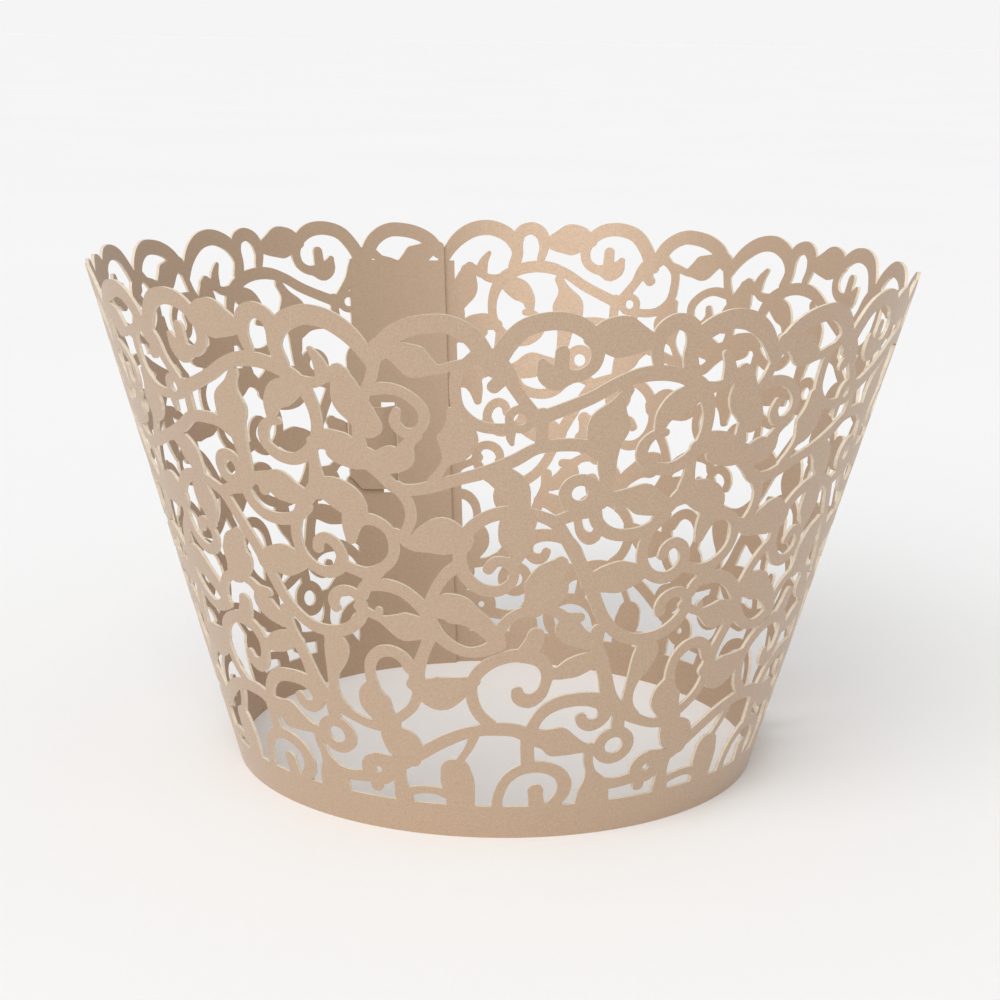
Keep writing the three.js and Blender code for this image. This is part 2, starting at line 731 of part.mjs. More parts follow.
// The whole sheet laid flat: the motif repeated, the band below it, and the two end strips.
function flatSheet() {
  const one = toGeometry(motif());
  const copies = [];
  for (let i = 0; i <= REPEATS + 1; i += 1) {
    const turn = (i - (REPEATS + 1) / 2) * MOTIF_ANGLE;
    copies.push(solid(one.clone().rotateZ(-turn)));
  }
  const lace = joinAll(copies).intersect(blank(sector(0, BLANK_HEIGHT, -ENDS_ANGLE, ENDS_ANGLE)));
  const band = blank(sector(0, BAND_HEIGHT, -ENDS_ANGLE, ENDS_ANGLE));
  const lower = plate(-ENDS_ANGLE, 0, OVERLAP + SLIT_WIDTH + STRIP_MARGIN, STRIP_FOOT, STRIP_HEIGHT);
  const upper = plate(ENDS_ANGLE, -STRIP_INSET, OVERLAP, STRIP_FOOT, STRIP_HEIGHT);
  const tabLow = TAB_MIDDLE - TAB_WIDTH / 2;
  const tabHigh = TAB_MIDDLE + TAB_WIDTH / 2;
  const tab = plate(ENDS_ANGLE, 0, OVERLAP + TAB_LENGTH, tabLow, tabHigh, TAB_CORNER);
  const slitLow = tabLow - SLIT_CLEARANCE;
  const slitHigh = tabHigh + SLIT_CLEARANCE;
  const slit = plate(-ENDS_ANGLE, OVERLAP, OVERLAP + SLIT_WIDTH, slitLow, slitHigh);
  return joinAll([lace, band, blank(lower), blank(upper), blank(tab)]).subtract(blank(slit));
}

// The outlines of a flat blank: its outer edge and the edges of its holes, each a closed loop of points.
function outlinesOf(manifold) {
  const { vertProperties: array, triVerts: corners } = manifold.getMesh();
  const onTop = (v) => array[3 * v + 2] > BLANK_DEPTH / 2;
  const next = new Map();
  const edges = new Set();
  for (let f = 0; f < corners.length; f += 3) {
    const face = [corners[f], corners[f + 1], corners[f + 2]];
    if (!face.every(onTop)) continue;
    face.forEach((from, k) => edges.add(`${from} ${face[(k + 1) % 3]}`));
  }
  for (const edge of edges) {
    const [from, to] = edge.split(" ").map(Number);
    if (!edges.has(`${to} ${from}`)) next.set(from, to);
  }
  const loops = [];
  while (next.size) {
    const loop = [];
    let at = next.keys().next().value;
    while (next.has(at)) {
      loop.push(new THREE.Vector2(array[3 * at], array[3 * at + 1]));
      const to = next.get(at);
      next.delete(at);
      at = to;
    }
    loops.push(loop);
  }
  return loops.filter((loop) => Math.abs(THREE.ShapeUtils.area(loop)) > SMALLEST_HOLE);
}

// A closed loop with only the points that its shape needs: the point whose corner is smallest goes
// first, until every corner that is left counts.
function thinned(loop) {
  const kept = [...loop];
  const cornerArea = (i) => {
    const before = kept[(i + kept.length - 1) % kept.length];
    const after = kept[(i + 1) % kept.length];
    return Math.abs(kept[i].clone().sub(before).cross(after.clone().sub(before))) / 2;
  };
  const areas = kept.map((_, i) => cornerArea(i));
  while (kept.length > FEWEST_CORNERS) {
    const least = areas.reduce((best, area, i) => (area < areas[best] ? i : best), 0);
    if (areas[least] > SMALLEST_CORNER) break;
    kept.splice(least, 1);
    areas.splice(least, 1);
    for (const i of [least % kept.length, (least + kept.length - 1) % kept.length]) areas[i] = cornerArea(i);
  }
  return kept;
}

// Splits the edges of a loop that turn too far to follow the roll of the card, and those that cross
// a bend of the tab. Height and angle are shared out evenly, so a level edge stays level.
function divided(loop) {
  return loop.flatMap((point, i) => {
    const [from, to] = [placeOf(point), placeOf(loop[(i + 1) % loop.length])];
    const turn = THREE.MathUtils.radToDeg(Math.abs(to.angle - from.angle)) / Math.sin(LEAN);
    const parts = Math.max(1, Math.ceil(turn / WIDEST_FACET));
    const shares = Array.from({ length: parts }, (_, k) => k / parts);
    const bends = TAB_BENDS.map((bend) => (bend - from.past) / (to.past - from.past));
    const split = [...shares, ...bends.filter((share) => share > 0 && share < 1)].sort((p, q) => p - q);
    const { lerp } = THREE.MathUtils;
    return split.map((t) => onSheet(lerp(from.height, to.height, t), lerp(from.angle, to.angle, t)));
  });
}

// Points inside both plies of the overlap, in the same columns and rows, so that their facets match.
function seamPoints() {
  const points = [];
  for (const end of [-ENDS_ANGLE, ENDS_ANGLE]) {
    for (let column = 1; column < SEAM_COLUMNS; column += 1) {
      for (let row = 1; row < SEAM_ROWS; row += 1) {
        const height = (STRIP_HEIGHT * row) / SEAM_ROWS;
        const past = (OVERLAP * column) / SEAM_COLUMNS;
        points.push(onSheet(height, end + past / (FLAT_RADIUS + height)));
      }
    }
  }
  return points;
}

// Twice the area of a flat triangle, positive when its corners run anticlockwise.
function side(a, b, c) {
  return b.clone().sub(a).cross(c.clone().sub(a));
}

// Adds a point inside a flat triangulation by splitting the triangle that holds it.
function inserted(points, faces, point) {
  const at = points.push(point) - 1;
  const leftOf = (p, q) => side(points[p], points[q], point) > 0;
  const holds = ([a, b, c]) => leftOf(a, b) && leftOf(b, c) && leftOf(c, a);
  const found = faces.findIndex(holds);
  if (found < 0) throw new Error("a seam point lies off the sheet");
  const [a, b, c] = faces[found];
  faces.splice(found, 1, [a, b, at], [b, c, at], [c, a, at]);
}

// Turns the diagonals of a flat triangulation until no triangle can be made less narrow.
function evened(points, faces) {
  const key = (a, b) => a * points.length + b;
  const owner = new Map();
  const claim = (f) => faces[f].forEach((a, k) => owner.set(key(a, faces[f][(k + 1) % 3]), f));
  faces.forEach((_, f) => claim(f));
  const third = (f, a, b) => faces[f].find((c) => c !== a && c !== b);
  const angleAt = (c, a, b) => {
    const u = points[a].clone().sub(points[c]);
    const v = points[b].clone().sub(points[c]);
    return Math.acos(THREE.MathUtils.clamp(u.dot(v) / (u.length() * v.length()), -1, 1));
  };
  let turned = true;
  for (let round = 0; turned && round < MOST_ROUNDS; round += 1) {
    turned = false;
    for (const edge of [...owner.keys()]) {
      const a = Math.floor(edge / points.length);
      const b = edge % points.length;
      const [f, g] = [owner.get(key(a, b)), owner.get(key(b, a))];
      if (f === undefined || g === undefined) continue;
      const [c, d] = [third(f, a, b), third(g, a, b)];
      if (angleAt(c, a, b) + angleAt(d, a, b) < Math.PI + SLIVER) continue;
      const [atA, atB, atC, atD] = [a, b, c, d].map((v) => points[v]);
      if (side(atD, atB, atC) < SLIVER || side(atC, atA, atD) < SLIVER) continue;
      faces[f].forEach((v, k) => owner.delete(key(v, faces[f][(k + 1) % 3])));
      faces[g].forEach((v, k) => owner.delete(key(v, faces[g][(k + 1) % 3])));
      faces[f] = [d, b, c];
      faces[g] = [c, a, d];
      claim(f);
      claim(g);
      turned = true;
    }
  }
  return faces;
}

// How far a point of the sheet stands proud of the cone, in plies: the strip on top of the other end
// stands one ply out, and its tab goes through the slit and lies one ply in.
function plyAt(past) {
  const [bendDown, bendBack] = TAB_BENDS;
  const rise = THREE.MathUtils.smoothstep(past, -LIFT_RUN, -STRIP_INSET);
  const dive = THREE.MathUtils.clamp((past - bendDown) / (bendBack - bendDown), 0, 1);
  return rise - 2 * dive;
}

// Rolls a point of the flat sheet into the cup, on its outer or inner face.
function rolled(point, inside) {
  const { height, angle, past } = placeOf(point);
  const turn = angle / Math.sin(LEAN) + MIDDLE_TURN;
  const thick = CARD / Math.cos(LEAN);
  const lift = plyAt(past) * (thick + PLY_GAP);
  const reach = BOTTOM_RADIUS + height * Math.sin(LEAN) + lift - (inside ? thick : 0);
  return [reach * Math.sin(turn), -reach * Math.cos(turn), height * Math.cos(LEAN)];
}

// The walls of card along a cut edge, from corner number start of the outer face; the same corner of
// the inner face is count places further on.
function walls(loop, start, count) {
  return loop.flatMap((_, i) => {
    const a = start + i;
    const b = start + ((i + 1) % loop.length);
    return [a, count + a, b, b, count + a, count + b];
  });
}

function wrapper() {
  const loops = outlinesOf(flatSheet()).map((loop) => divided(thinned(loop)));
  const size = (loop) => Math.abs(THREE.ShapeUtils.area(loop));
  loops.sort((a, b) => size(b) - size(a));
  const points = loops.flat();
  const faces = THREE.ShapeUtils.triangulateShape(loops[0], loops.slice(1));
  for (const point of seamPoints()) inserted(points, faces, point);
  const count = points.length;
  const corners = [false, true].flatMap((inside) => points.flatMap((point) => rolled(point, inside)));
  const triangles = evened(points, faces).flatMap(([a, b, c]) => [a, b, c, count + a, count + c, count + b]);
  let start = 0;
  for (const loop of loops) {
    triangles.push(...walls(loop, start, count));
    start += loop.length;
  }
  const geometry = new THREE.BufferGeometry();
  geometry.setAttribute("position", new THREE.Float32BufferAttribute(corners, 3));
  geometry.setIndex(triangles);
  geometry.computeVertexNormals();
  return geometry;
}

const card = new THREE.MeshStandardMaterial({ color: 0xbea28a, roughness: 0.55, metalness: 0 });
const sheet = new THREE.Mesh(wrapper(), card);
sheet.name = "wrapper_sheet";

const cup = new THREE.Group();
cup.add(sheet);
export default cup;
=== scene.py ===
"""Cupcake wrapper: the card lace in fine facets, its pearl card, and the studio."""

import math

import bpy
from mathutils import Matrix, Vector
from mathutils.bvhtree import BVHTree
from mathutils.geometry import delaunay_2d_cdt


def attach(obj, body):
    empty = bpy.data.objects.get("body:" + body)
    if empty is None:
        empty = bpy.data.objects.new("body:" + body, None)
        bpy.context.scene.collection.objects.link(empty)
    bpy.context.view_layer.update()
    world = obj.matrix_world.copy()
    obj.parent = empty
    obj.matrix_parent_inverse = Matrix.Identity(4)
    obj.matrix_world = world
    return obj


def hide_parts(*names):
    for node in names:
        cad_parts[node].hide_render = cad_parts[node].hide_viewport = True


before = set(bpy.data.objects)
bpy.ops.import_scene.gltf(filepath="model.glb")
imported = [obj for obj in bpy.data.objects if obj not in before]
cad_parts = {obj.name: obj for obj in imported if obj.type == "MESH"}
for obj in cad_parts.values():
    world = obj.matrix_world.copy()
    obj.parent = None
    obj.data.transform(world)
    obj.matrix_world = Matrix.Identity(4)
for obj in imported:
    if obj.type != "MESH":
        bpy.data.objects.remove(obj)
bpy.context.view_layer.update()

bl_info = {
    "name": "Cupcake Wrapper",
    "version": (1, 0, 0),
    "blender": (4, 5, 0),
    "location": "3D View > Sidebar > Cupcake",
    "description": "Builds a pierced card cupcake wrapper, rolled and locked with a tab, and its studio",
    "category": "Object",
}

# The cutting, in millimetres, the same as in the solid.
REPEATS = 7  # times that the motif stands round the cup
BAND_HEIGHT = 3.35  # uncut band along the bottom edge
OVERLAP = 6  # width of the strip that lies over the other end
STRIP_HEIGHT = 44.8  # height of the uncut end strips up the wall
STRIP_INSET = 1.2  # how far the upper strip reaches back into its own lace
STRIP_MARGIN = 3.2  # uncut card beyond the slit
STRIP_FOOT = 0.02  # the end strips start this far above the bottom edge, inside the band
PLY_GAP = 0.12  # air between the two plies
LIFT_RUN = 16  # length of wall over which the upper ply rises off the lower one
TAB_WIDTH = 9  # along the seam
TAB_LENGTH = 6
TAB_MIDDLE = 24  # height up the wall of the tab's centre line
TAB_CORNER = 1.5  # cut off each corner of the tab's end
TAB_ENTRY = 0.25  # room between the bends of the tab and the edges of the slit
SLIT_WIDTH = 1.8
SLIT_CLEARANCE = 0.5  # room at each end of the slit
TAB_BENDS = (OVERLAP + TAB_ENTRY, OVERLAP + SLIT_WIDTH - TAB_ENTRY)
MIDDLE_TURN = math.radians(11.1)  # the middle motif stands this far round from -Y

# How finely the outlines are drawn.
TIP_STEPS = 5  # rows that round off a stem end
RING_STEPS = 28  # sides of an eyelet
FLAT_STEP = 0.8  # spacing of the points along the bottom edge
SHEET_TOP = 60  # the radial lines reach past the top of the lace
COLUMNS = 150  # facets round the cup
STRAIGHT = 0.0012  # square millimetres that a corner must cut off to be kept
FEWEST_CORNERS = 4  # that easing leaves in an outline
LEAST_CORNERS = 3  # an outline with fewer encloses nothing
MERGE_WITHIN = 1e-5  # points that are the same
SHARP_ANGLE = math.radians(35)  # facets that meet at more than this show a crease
TINY = 1e-4  # shortest gap that counts between knots
SLIVER = 1e-7  # twice the area of a facet too thin to keep

MM = 0.001  # in metres

# Material slots of the sheet's mesh.
CARD_SLOT, EDGE_SLOT = 0, 1

# Looks of the card and the floor. Scales are in cells per metre and depths in metres.
GRAIN_DETAIL = 2  # finer layers laid over a noise
FLECK_SCALE = 8500  # the mica flecks of the card
FLECK_DETAIL = 1
FELT_SCALE = 2400  # the felt's marks on the card, and the fibres of a cut edge
FELT_DEPTH = 0.000006
NOISE_LOW = 0.3  # nearly all of a noise lies between these two values
NOISE_HIGH = 0.7
PEARL_METAL = 0.25
PEARL_ROUGHNESS = (0.52, 0.36)  # between the flecks and on them
PEARL_SHEEN = 0.15
SHEEN_ROUGHNESS = 0.5
EDGE_ROUGHNESS = 0.85
FIBRE_SHADE = 0.86  # of the cut edge's colour, in its darker fibres
FLOOR_SCALE = 6
FLOOR_SHADE = 0.985  # of the floor's colour, in its darker patches
FLOOR_ROUGHNESS = 0.7
FLOOR_GLOSS = 0.15

# The key light comes from high in front and to the left.
KEY_FROM = Vector((-0.35, -0.75, 0.7))
SENSOR_WIDTH = 36  # millimetres

# The motif on the flat sheet: x across, y up from the bottom edge, then the width in vine widths,
# kept from the point before where it isn't given. A stem is a smooth line through its points.
STEMS = {
    "arch_left": [
        (-16.2, 44.9, 1.55), (-15.2, 46.4), (-13.9, 47.3), (-12.4, 47.8), (-11, 47.95),
        (-9.8, 47.6), (-8.7, 46.8), (-7.8, 45.4),
    ],
    "arch_middle": [
        (-7.2, 44.6, 1.5), (-6.2, 46.7), (-5, 48.1), (-3, 48.75), (-1.1, 48.5), (0.3, 47.4, 1.3),
        (0.75, 46.2, 1.1), (0.5, 45, 1), (-0.4, 44.3), (-1.6, 44.1, 1.2),
    ],
    "scroll_leaf": [
        (-1.5, 44.1, 1.4), (-2.3, 43.95, 2), (-3, 44.4, 1.8), (-3.5, 45.3, 0.7),
    ],
    "scroll_bud": [
        (-2, 44.4, 1.2), (-2, 46.2, 1.1),
    ],
    "arch_leaf": [
        (0.3, 47.4, 1.6), (1.3, 47.5, 2.9), (2.6, 47.4, 3.5), (4, 47.1, 2.4), (5.2, 46.9, 1.2),
    ],
    "arch_small": [
        (5.75, 45, 0.9), (5.5, 46.4, 1.1), (5.9, 47.8, 1.4), (7, 48.4, 1.4), (8.2, 47.9, 1.4),
        (8.5, 46.8, 1.2), (8.4, 45.4, 1.2), (8.6, 44, 1.2),
    ],
    "arch_right": [
        (8.8, 44, 1.1), (8.5, 45.6, 1.2), (9.4, 47.2, 1.6), (11.5, 48.05, 1.7), (13.5, 47.7, 1.7),
        (15, 46.6, 1.6), (16, 45.2, 1.3), (16.6, 43.8, 1),
    ],
    "diagonal_upper": [
        (-3.8, 40.4, 1.2), (-1, 41.6, 1.1), (0.8, 42.45), (2.6, 43.5), (4.5, 44.1, 1.3),
        (6.5, 44.1, 1.3), (8.4, 43.5, 1.3), (9.7, 42.5, 1.5), (10.5, 41.2, 1.2), (10.75, 39.5, 1),
        (10.4, 37.7, 1), (9.3, 36.3, 1.1), (7.8, 35.6, 1.1), (6.2, 35.9, 1.1), (5.2, 36.9, 1),
        (5.3, 38, 1), (6, 38.75, 0.8), (7, 38.9, 0.7),
    ],
    "loop_leaf": [
        (6.4, 39.1, 0.8), (6.8, 40.4, 1.6), (7.8, 41.3, 2.4), (9, 41.9, 2), (9.8, 42.4, 1.2),
    ],
    "inner_leaf": [
        (3.5, 42.9, 0.9), (2.9, 41.9, 1.2), (2.3, 40.2, 3.4), (2.1, 38.9, 3.2), (2.3, 37.3, 1.8),
        (2.4, 35.8, 1.4),
    ],
    "stem_down": [
        (2.3, 37.4, 1.5), (2.45, 36, 1.3), (2.4, 34.6, 1.3), (2, 33.2, 1.6),
    ],
    "leaf_link": [
        (0.5, 38.2, 1.1), (2.2, 37.6, 1.2),
    ],
    "stem_left": [
        (-7.4, 45.6, 1.4), (-6.2, 44.4, 1.4), (-5.4, 43, 1), (-4.6, 41.9, 1), (-3.9, 40.9, 1.2),
    ],
    "stem_bud": [
        (-6.3, 44, 1.2), (-7.05, 43.1, 1.1),
    ],
    "crescent": [
        (-4.9, 39.9, 0.9), (-6.3, 39.55, 0.9), (-8.2, 39.75, 0.95), (-9.6, 40.9, 0.95),
        (-10, 42.4, 0.9), (-9.95, 44, 0.9), (-9.1, 45.1, 0.9), (-8.2, 45.8, 1.4),
    ],
    "beak": [
        (-5.5, 39.8, 0.9), (-5.5, 38.8, 0.7), (-5.35, 38.3, 0.4),
    ],
    "link_middle": [
        (-3.15, 41, 1), (-3.1, 39.8, 0.95), (-3.1, 38.2, 1),
    ],
    "corner_leaf": [
        (-16, 45.6, 1.2), (-14.6, 45.1, 2), (-13.2, 44.5, 2.8), (-12, 44.2, 1.4),
        (-11.4, 44.1, 0.8), (-10.4, 44.5, 0.8), (-9.4, 44.8, 0.9),
    ],
    "scroll_left": [
        (-16.8, 41.6, 1.1), (-15, 41.95, 0.95), (-13.5, 41.5, 0.9), (-12.4, 40.4, 0.9),
        (-12.4, 39.2, 0.8), (-13.1, 38.4, 0.9), (-14, 38.4, 0.9), (-14.65, 39.2, 0.9),
        (-14.55, 40.1, 0.7),
    ],
    "scroll_left_leaf": [
        (-12.8, 38.2, 0.8), (-13.5, 37.4, 1), (-14, 36.1, 2.2), (-15, 35.7, 2.4),
        (-16.2, 35.3, 1.6),
    ],
    "pear": [
        (-10.2, 40.7, 0.8), (-9.9, 39.9, 1.5), (-9.6, 38.4, 3.3), (-9.9, 37.1, 2.3),
        (-10.4, 36.2, 0.8), (-10.8, 35.4, 0.7), (-11.3, 34.4, 1),
    ],
    "diagonal_lower": [
        (-16.9, 35.4, 1.5), (-15.6, 34.3, 1.1), (-14.3, 33.3, 1.1), (-12.8, 33.4, 1),
        (-11.2, 34, 1.1), (-9.4, 34.8, 1), (-7.2, 35.7, 1.1), (-5, 36.9, 1.1), (-3.4, 37.95, 1),
        (-1.5, 38.3, 1.1), (0.4, 38.15, 1.1), (1.7, 37.4, 1.1),
    ],
    "diagonal_leaf": [
        (-6.9, 35.4, 1.2), (-5.7, 35, 2.4), (-4.9, 34.2, 2.6), (-4.4, 33.1, 1.8), (-4.3, 32.1, 1.6),
    ],
    "border_stem": [
        (-16.3, 45.4, 1.2), (-16.5, 43.8, 0.9), (-16.75, 42.3, 0.9), (-17.25, 40.9, 0.95),
        (-17.6, 39, 1), (-17.5, 37, 1), (-17, 35.4, 1.2),
    ],
    "right_leaf": [
        (13.6, 43.4, 1.2), (13.8, 42.4, 2.1), (14, 40.9, 2.9), (14.6, 39.8, 2.6), (15.2, 38.6, 2.2),
    ],
    "right_stem": [
        (9.9, 42.4, 1.2), (11.5, 42.4, 0.9), (12.8, 43.2, 1), (13.9, 43, 1.4),
    ],
    "right_bud": [
        (12.3, 43, 1.4), (12.1, 44.2, 1), (11.6, 45.2, 0.5),
    ],
    "cross_leaf": [
        (10, 37.2, 1.2), (11.2, 37.4, 2), (12.2, 36.8, 2.9), (13.4, 36.1, 2.6), (14.8, 35.6, 1.8),
        (15.8, 35, 1.6),
    ],
    "column": [
        (9.6, 36.6, 1), (9.6, 35, 1), (9.5, 33.6, 1.6),
    ],
    "hook_leaf": [
        (8.2, 32.3, 1), (9.6, 33, 2), (11, 32.7, 2.8), (12, 31.9, 2.8), (12.2, 30.8, 2.3),
        (11.7, 29.7, 1.6), (11.4, 28.5, 0.9),
    ],
    "step_stem": [
        (-14.2, 33.4, 1.1), (-13.3, 32.2, 0.9), (-13, 31, 0.9), (-13.2, 29.8, 0.9), (-13.6, 29, 1),
    ],
    "long_leaf": [
        (-14.2, 29.2, 0.8), (-12.9, 28.6, 1.5), (-11.5, 29.1, 2.7), (-10.3, 29.5, 3.5),
        (-9.1, 29.3, 2.6),
    ],
    "scroll_middle": [
        (-4.3, 32.3, 1.3), (-6.4, 31.9, 1.15), (-8, 30.7, 1.1), (-8.75, 29.1, 1.1),
        (-8.85, 27.4, 1.1), (-8.2, 25.9, 1.1), (-6.9, 24.95, 1.1), (-5.5, 24.95, 1),
        (-4.55, 25.8, 0.85), (-4.45, 26.9, 0.85), (-5.1, 27.6, 0.9), (-6, 27.6, 0.95),
        (-6.5, 26.9, 0.95),
    ],
    "drop_leaf": [
        (-4.6, 32, 2), (-4.65, 31, 2.6), (-4.4, 29.8, 2.9), (-4.25, 28.8, 2), (-4.3, 27.8, 0.9),
    ],
    "trunk": [
        (-4, 32.3, 1), (-2.6, 31.9, 1), (-1.4, 31.3, 1.1), (-0.5, 30, 1.1), (0.3, 28.6, 1.1),
        (1.2, 27, 1.2), (1.9, 25.5, 1.2), (2.5, 24, 1.1), (3.2, 22.4, 1.1), (4.2, 21, 1.1),
        (5.6, 19.95, 1.1), (7.2, 19.6, 1.1), (9, 19.9, 1.1), (10.4, 20.9, 1.1), (11.05, 22.2, 0.9),
        (10.6, 23.4, 0.9), (9.7, 23.65, 0.95), (8.8, 23.3, 1), (8.35, 22.5, 0.95),
        (8.45, 21.95, 0.9),
    ],
    "trunk_leaf": [
        (-0.7, 27.6, 1.3), (-1.5, 26.4, 2.9), (-1.7, 25.3, 3.7), (-2.1, 24.3, 3.1), (-2.6, 23.5, 2),
    ],
    "ring_link": [
        (-1.4, 31.5, 1), (0.2, 32.1, 1.1), (1.7, 32.4, 1.2),
    ],
    "smile": [
        (1.7, 32.5, 1.1), (2, 31.3, 1.1), (3.2, 30.2, 1.1), (5, 29.9, 1.1), (6.6, 30.3, 1.1),
        (7.8, 31.3, 1.2),
    ],
    "smile_leaf": [
        (3, 33.4, 1.1), (4.2, 33.4, 1.6), (5.6, 33.1, 2.8), (6.9, 32.5, 2.2), (8.2, 32.2, 1.2),
    ],
    "smile_bud": [
        (3.8, 33.3, 1), (3.8, 32.4, 0.9),
    ],
    "scroll_right": [
        (8.3, 32.3, 1.2), (7.2, 31, 1), (6.4, 29.5, 0.95), (6.15, 28, 0.95), (6.5, 26.6, 1),
        (7.4, 25.65, 1.05), (8.6, 25.3, 1.1), (9.7, 25.8, 1.1), (10.2, 26.9, 1), (9.8, 28.1, 1),
        (9, 28.55, 1), (8.3, 28.2, 0.95), (8.05, 27.5, 0.9),
    ],
    "scroll_right_leaf": [
        (2, 25.6, 1.8), (3.2, 25.9, 2.6), (4.4, 26, 3), (5.6, 26.1, 2.2), (6.6, 26.2, 1.2),
    ],
    "ring_right": [
        (12.6, 30.4, 1.2), (13.9, 30.2, 1), (14.9, 29.3, 0.95), (15.1, 28.1, 0.9),
        (14.7, 26.8, 0.9), (13.6, 25.8, 1), (12.2, 25.35, 1.1), (10.9, 25.75, 1), (10, 26.2, 1.2),
    ],
    "wave": [
        (-16.9, 22.5, 1), (-16.6, 23.5, 1.1), (-15, 24.05, 1.2), (-13.6, 23.9, 1.2),
        (-12.4, 23.2, 1.2), (-11.4, 22.2, 1.2), (-10.8, 21, 1.2), (-10, 19.9, 1.1), (-8.8, 19.1, 1),
        (-7.6, 18.8, 0.95), (-6.4, 19.1, 1.1), (-5.3, 19.8, 1.4),
    ],
    "wave_link": [
        (-8.9, 27, 1.1), (-9.9, 26, 1), (-10.6, 24.7, 0.95), (-11, 23.4, 1), (-11.2, 22.3, 1.1),
    ],
    "ring_foot": [
        (-15.5, 25.2, 1), (-16.3, 24.2, 1.2),
    ],
    "wave_leaf": [
        (-11, 22.4, 1.4), (-9.8, 22.9, 2.6), (-8.7, 22.75, 2.8), (-7.6, 22.2, 2), (-6.5, 21.4, 1.7),
        (-5.4, 20.2, 1.4),
    ],
    "dome": [
        (-5.5, 19.8, 1.3), (-5.2, 21.2, 1), (-4.4, 22.4, 0.9), (-3.2, 23.1, 0.95),
        (-1.9, 23.3, 0.95), (-0.7, 23, 0.9), (0.3, 22.2, 1.2),
    ],
    "dome_bud": [
        (0.4, 22.3, 1.2), (1.3, 22.4, 0.9),
    ],
    "dome_leaf": [
        (0.3, 22.2, 1.4), (0.4, 21.4, 2.2), (1, 20.7, 2.1), (2.3, 19.9, 1.4),
    ],
    "crook": [
        (-2.9, 18.9, 1.7), (-2.4, 19.9, 1.6), (-2.2, 20.8, 1.4),
    ],
    "bud_leaf": [
        (-17.2, 21.4, 0.9), (-16.2, 21, 0.8), (-15.2, 20.7, 0.7), (-14.2, 20.5, 1.7),
        (-13.2, 20.4, 2.7), (-12.2, 20.5, 2.4), (-11.2, 20.6, 1.8),
    ],
    "bud": [
        (-15.4, 20.9, 0.6), (-15.4, 21.5, 0.65),
    ],
    "trunk_foot": [
        (3, 21, 1.2), (3, 19.6, 1.1), (3.5, 18, 1.2), (4, 16.5, 1.2), (4.3, 15.2, 1.3),
        (4.7, 14, 1.4), (5.4, 12.9, 1.5), (6.3, 12.2, 1.3), (7.6, 11.3, 1), (9, 10.6, 0.9),
        (10.4, 10.4, 1.2),
    ],
    "side_leaf": [
        (7.4, 19.3, 1.6), (7.6, 18.2, 2.3), (7.2, 16.9, 2), (6.6, 15.4, 1.1), (6.35, 14, 0.9),
        (6.5, 12.8, 1), (7.2, 11.7, 1),
    ],
    "great_scroll": [
        (-5.4, 11.7, 1.1), (-6.5, 12.8, 1), (-7.1, 14.2, 1), (-7.2, 15.8, 1), (-6.6, 17.1, 1.1),
        (-5.5, 18.1, 1.1), (-4.1, 18.7, 1.2), (-2.8, 18.7, 1.3), (-1.6, 18.2, 1.2), (-1, 17.1, 1.1),
        (-1.1, 15.9, 0.9), (-1.5, 14.9, 1.1), (-2.4, 14.3, 1.4), (-3.2, 14.6, 1.3), (-3.4, 15.2, 1),
    ],
    "hidden_leaf": [
        (3.6, 18, 1.2), (2.4, 18, 1.8), (1.1, 17.5, 2), (-0.2, 17, 1.2), (-1, 17.1, 1.1),
    ],
    "frame_leaf": [
        (-12.1, 14.9, 1.3), (-11, 14.5, 2.6), (-9.9, 14.4, 3.4), (-8.8, 14.9, 2.7),
        (-7.7, 15.6, 1.6), (-7, 16, 1),
    ],
    "frame_stem": [
        (-10.8, 20.2, 1.2), (-11.3, 18.6, 1), (-11.7, 17, 1.1), (-11.9, 15.4, 1.3),
        (-11.75, 14, 0.9), (-12.1, 12.6, 0.9), (-12.9, 11.5, 0.9), (-14, 10.4, 1),
    ],
    "frame_arch": [
        (10.3, 14.6, 1), (10.3, 15.8, 0.9), (10.7, 17, 1), (11.6, 17.8, 1.1), (12.7, 17.9, 1.1),
        (13.6, 17.3, 1.1), (14.1, 16.2, 1.2),
    ],
    "seed_upper": [
        (11.2, 10.6, 1.6), (10.6, 11.6, 2.3), (10.15, 12.8, 2.9), (10.05, 13.7, 2.4),
        (10.3, 14.7, 1.1),
    ],
    "seed_lower": [
        (10.8, 10.4, 1.5), (11.2, 9.5, 2.6), (11.8, 8.6, 3.3), (12.3, 7.7, 2.6), (12.4, 7, 1.4),
    ],
    "ramp": [
        (-15, 6.2, 1.4), (-12.9, 6.4, 1.3), (-11.6, 7.5, 1.2), (-10.2, 8.75, 1.15),
        (-8.9, 9.8, 1.15), (-7.6, 10.6, 1.1), (-6.2, 11.1, 1.1), (-4.8, 11.35, 1.3),
        (-3.4, 11.3, 1.3), (-2.1, 10.8, 1.4),
    ],
    "ramp_link": [
        (-6.7, 10.6, 0.9), (-7.1, 9.2, 0.7), (-7.7, 7.9, 0.7), (-8, 7, 1.2),
    ],
    "foot_seed": [
        (-8.1, 6.6, 2.6), (-7.9, 5.6, 2.9), (-7.6, 4.4, 2.6), (-7.5, 3, 2.4),
    ],
    "foot_arch": [
        (-12.9, 3, 0.9), (-11.6, 3.85, 0.8), (-10, 4.25, 0.75), (-8.6, 4, 0.9), (-7.4, 3.2, 1),
    ],
    "foot_scroll": [
        (-4.4, 2.6, 0.9), (-4.3, 4.4, 0.9), (-3.8, 6, 0.9), (-2.8, 7.05, 1), (-1.5, 7.5, 1.15),
        (-0.3, 7.35, 1.15), (0.8, 6.7, 1.2), (1.35, 5.6, 1.25), (1.2, 4.5, 1.2), (0.6, 3.6, 1.1),
        (0, 2.8, 1.2),
    ],
    "foot_bud": [
        (-0.8, 2.8, 1.6), (-1.05, 4.1, 1.3), (-1.15, 5, 1.35),
    ],
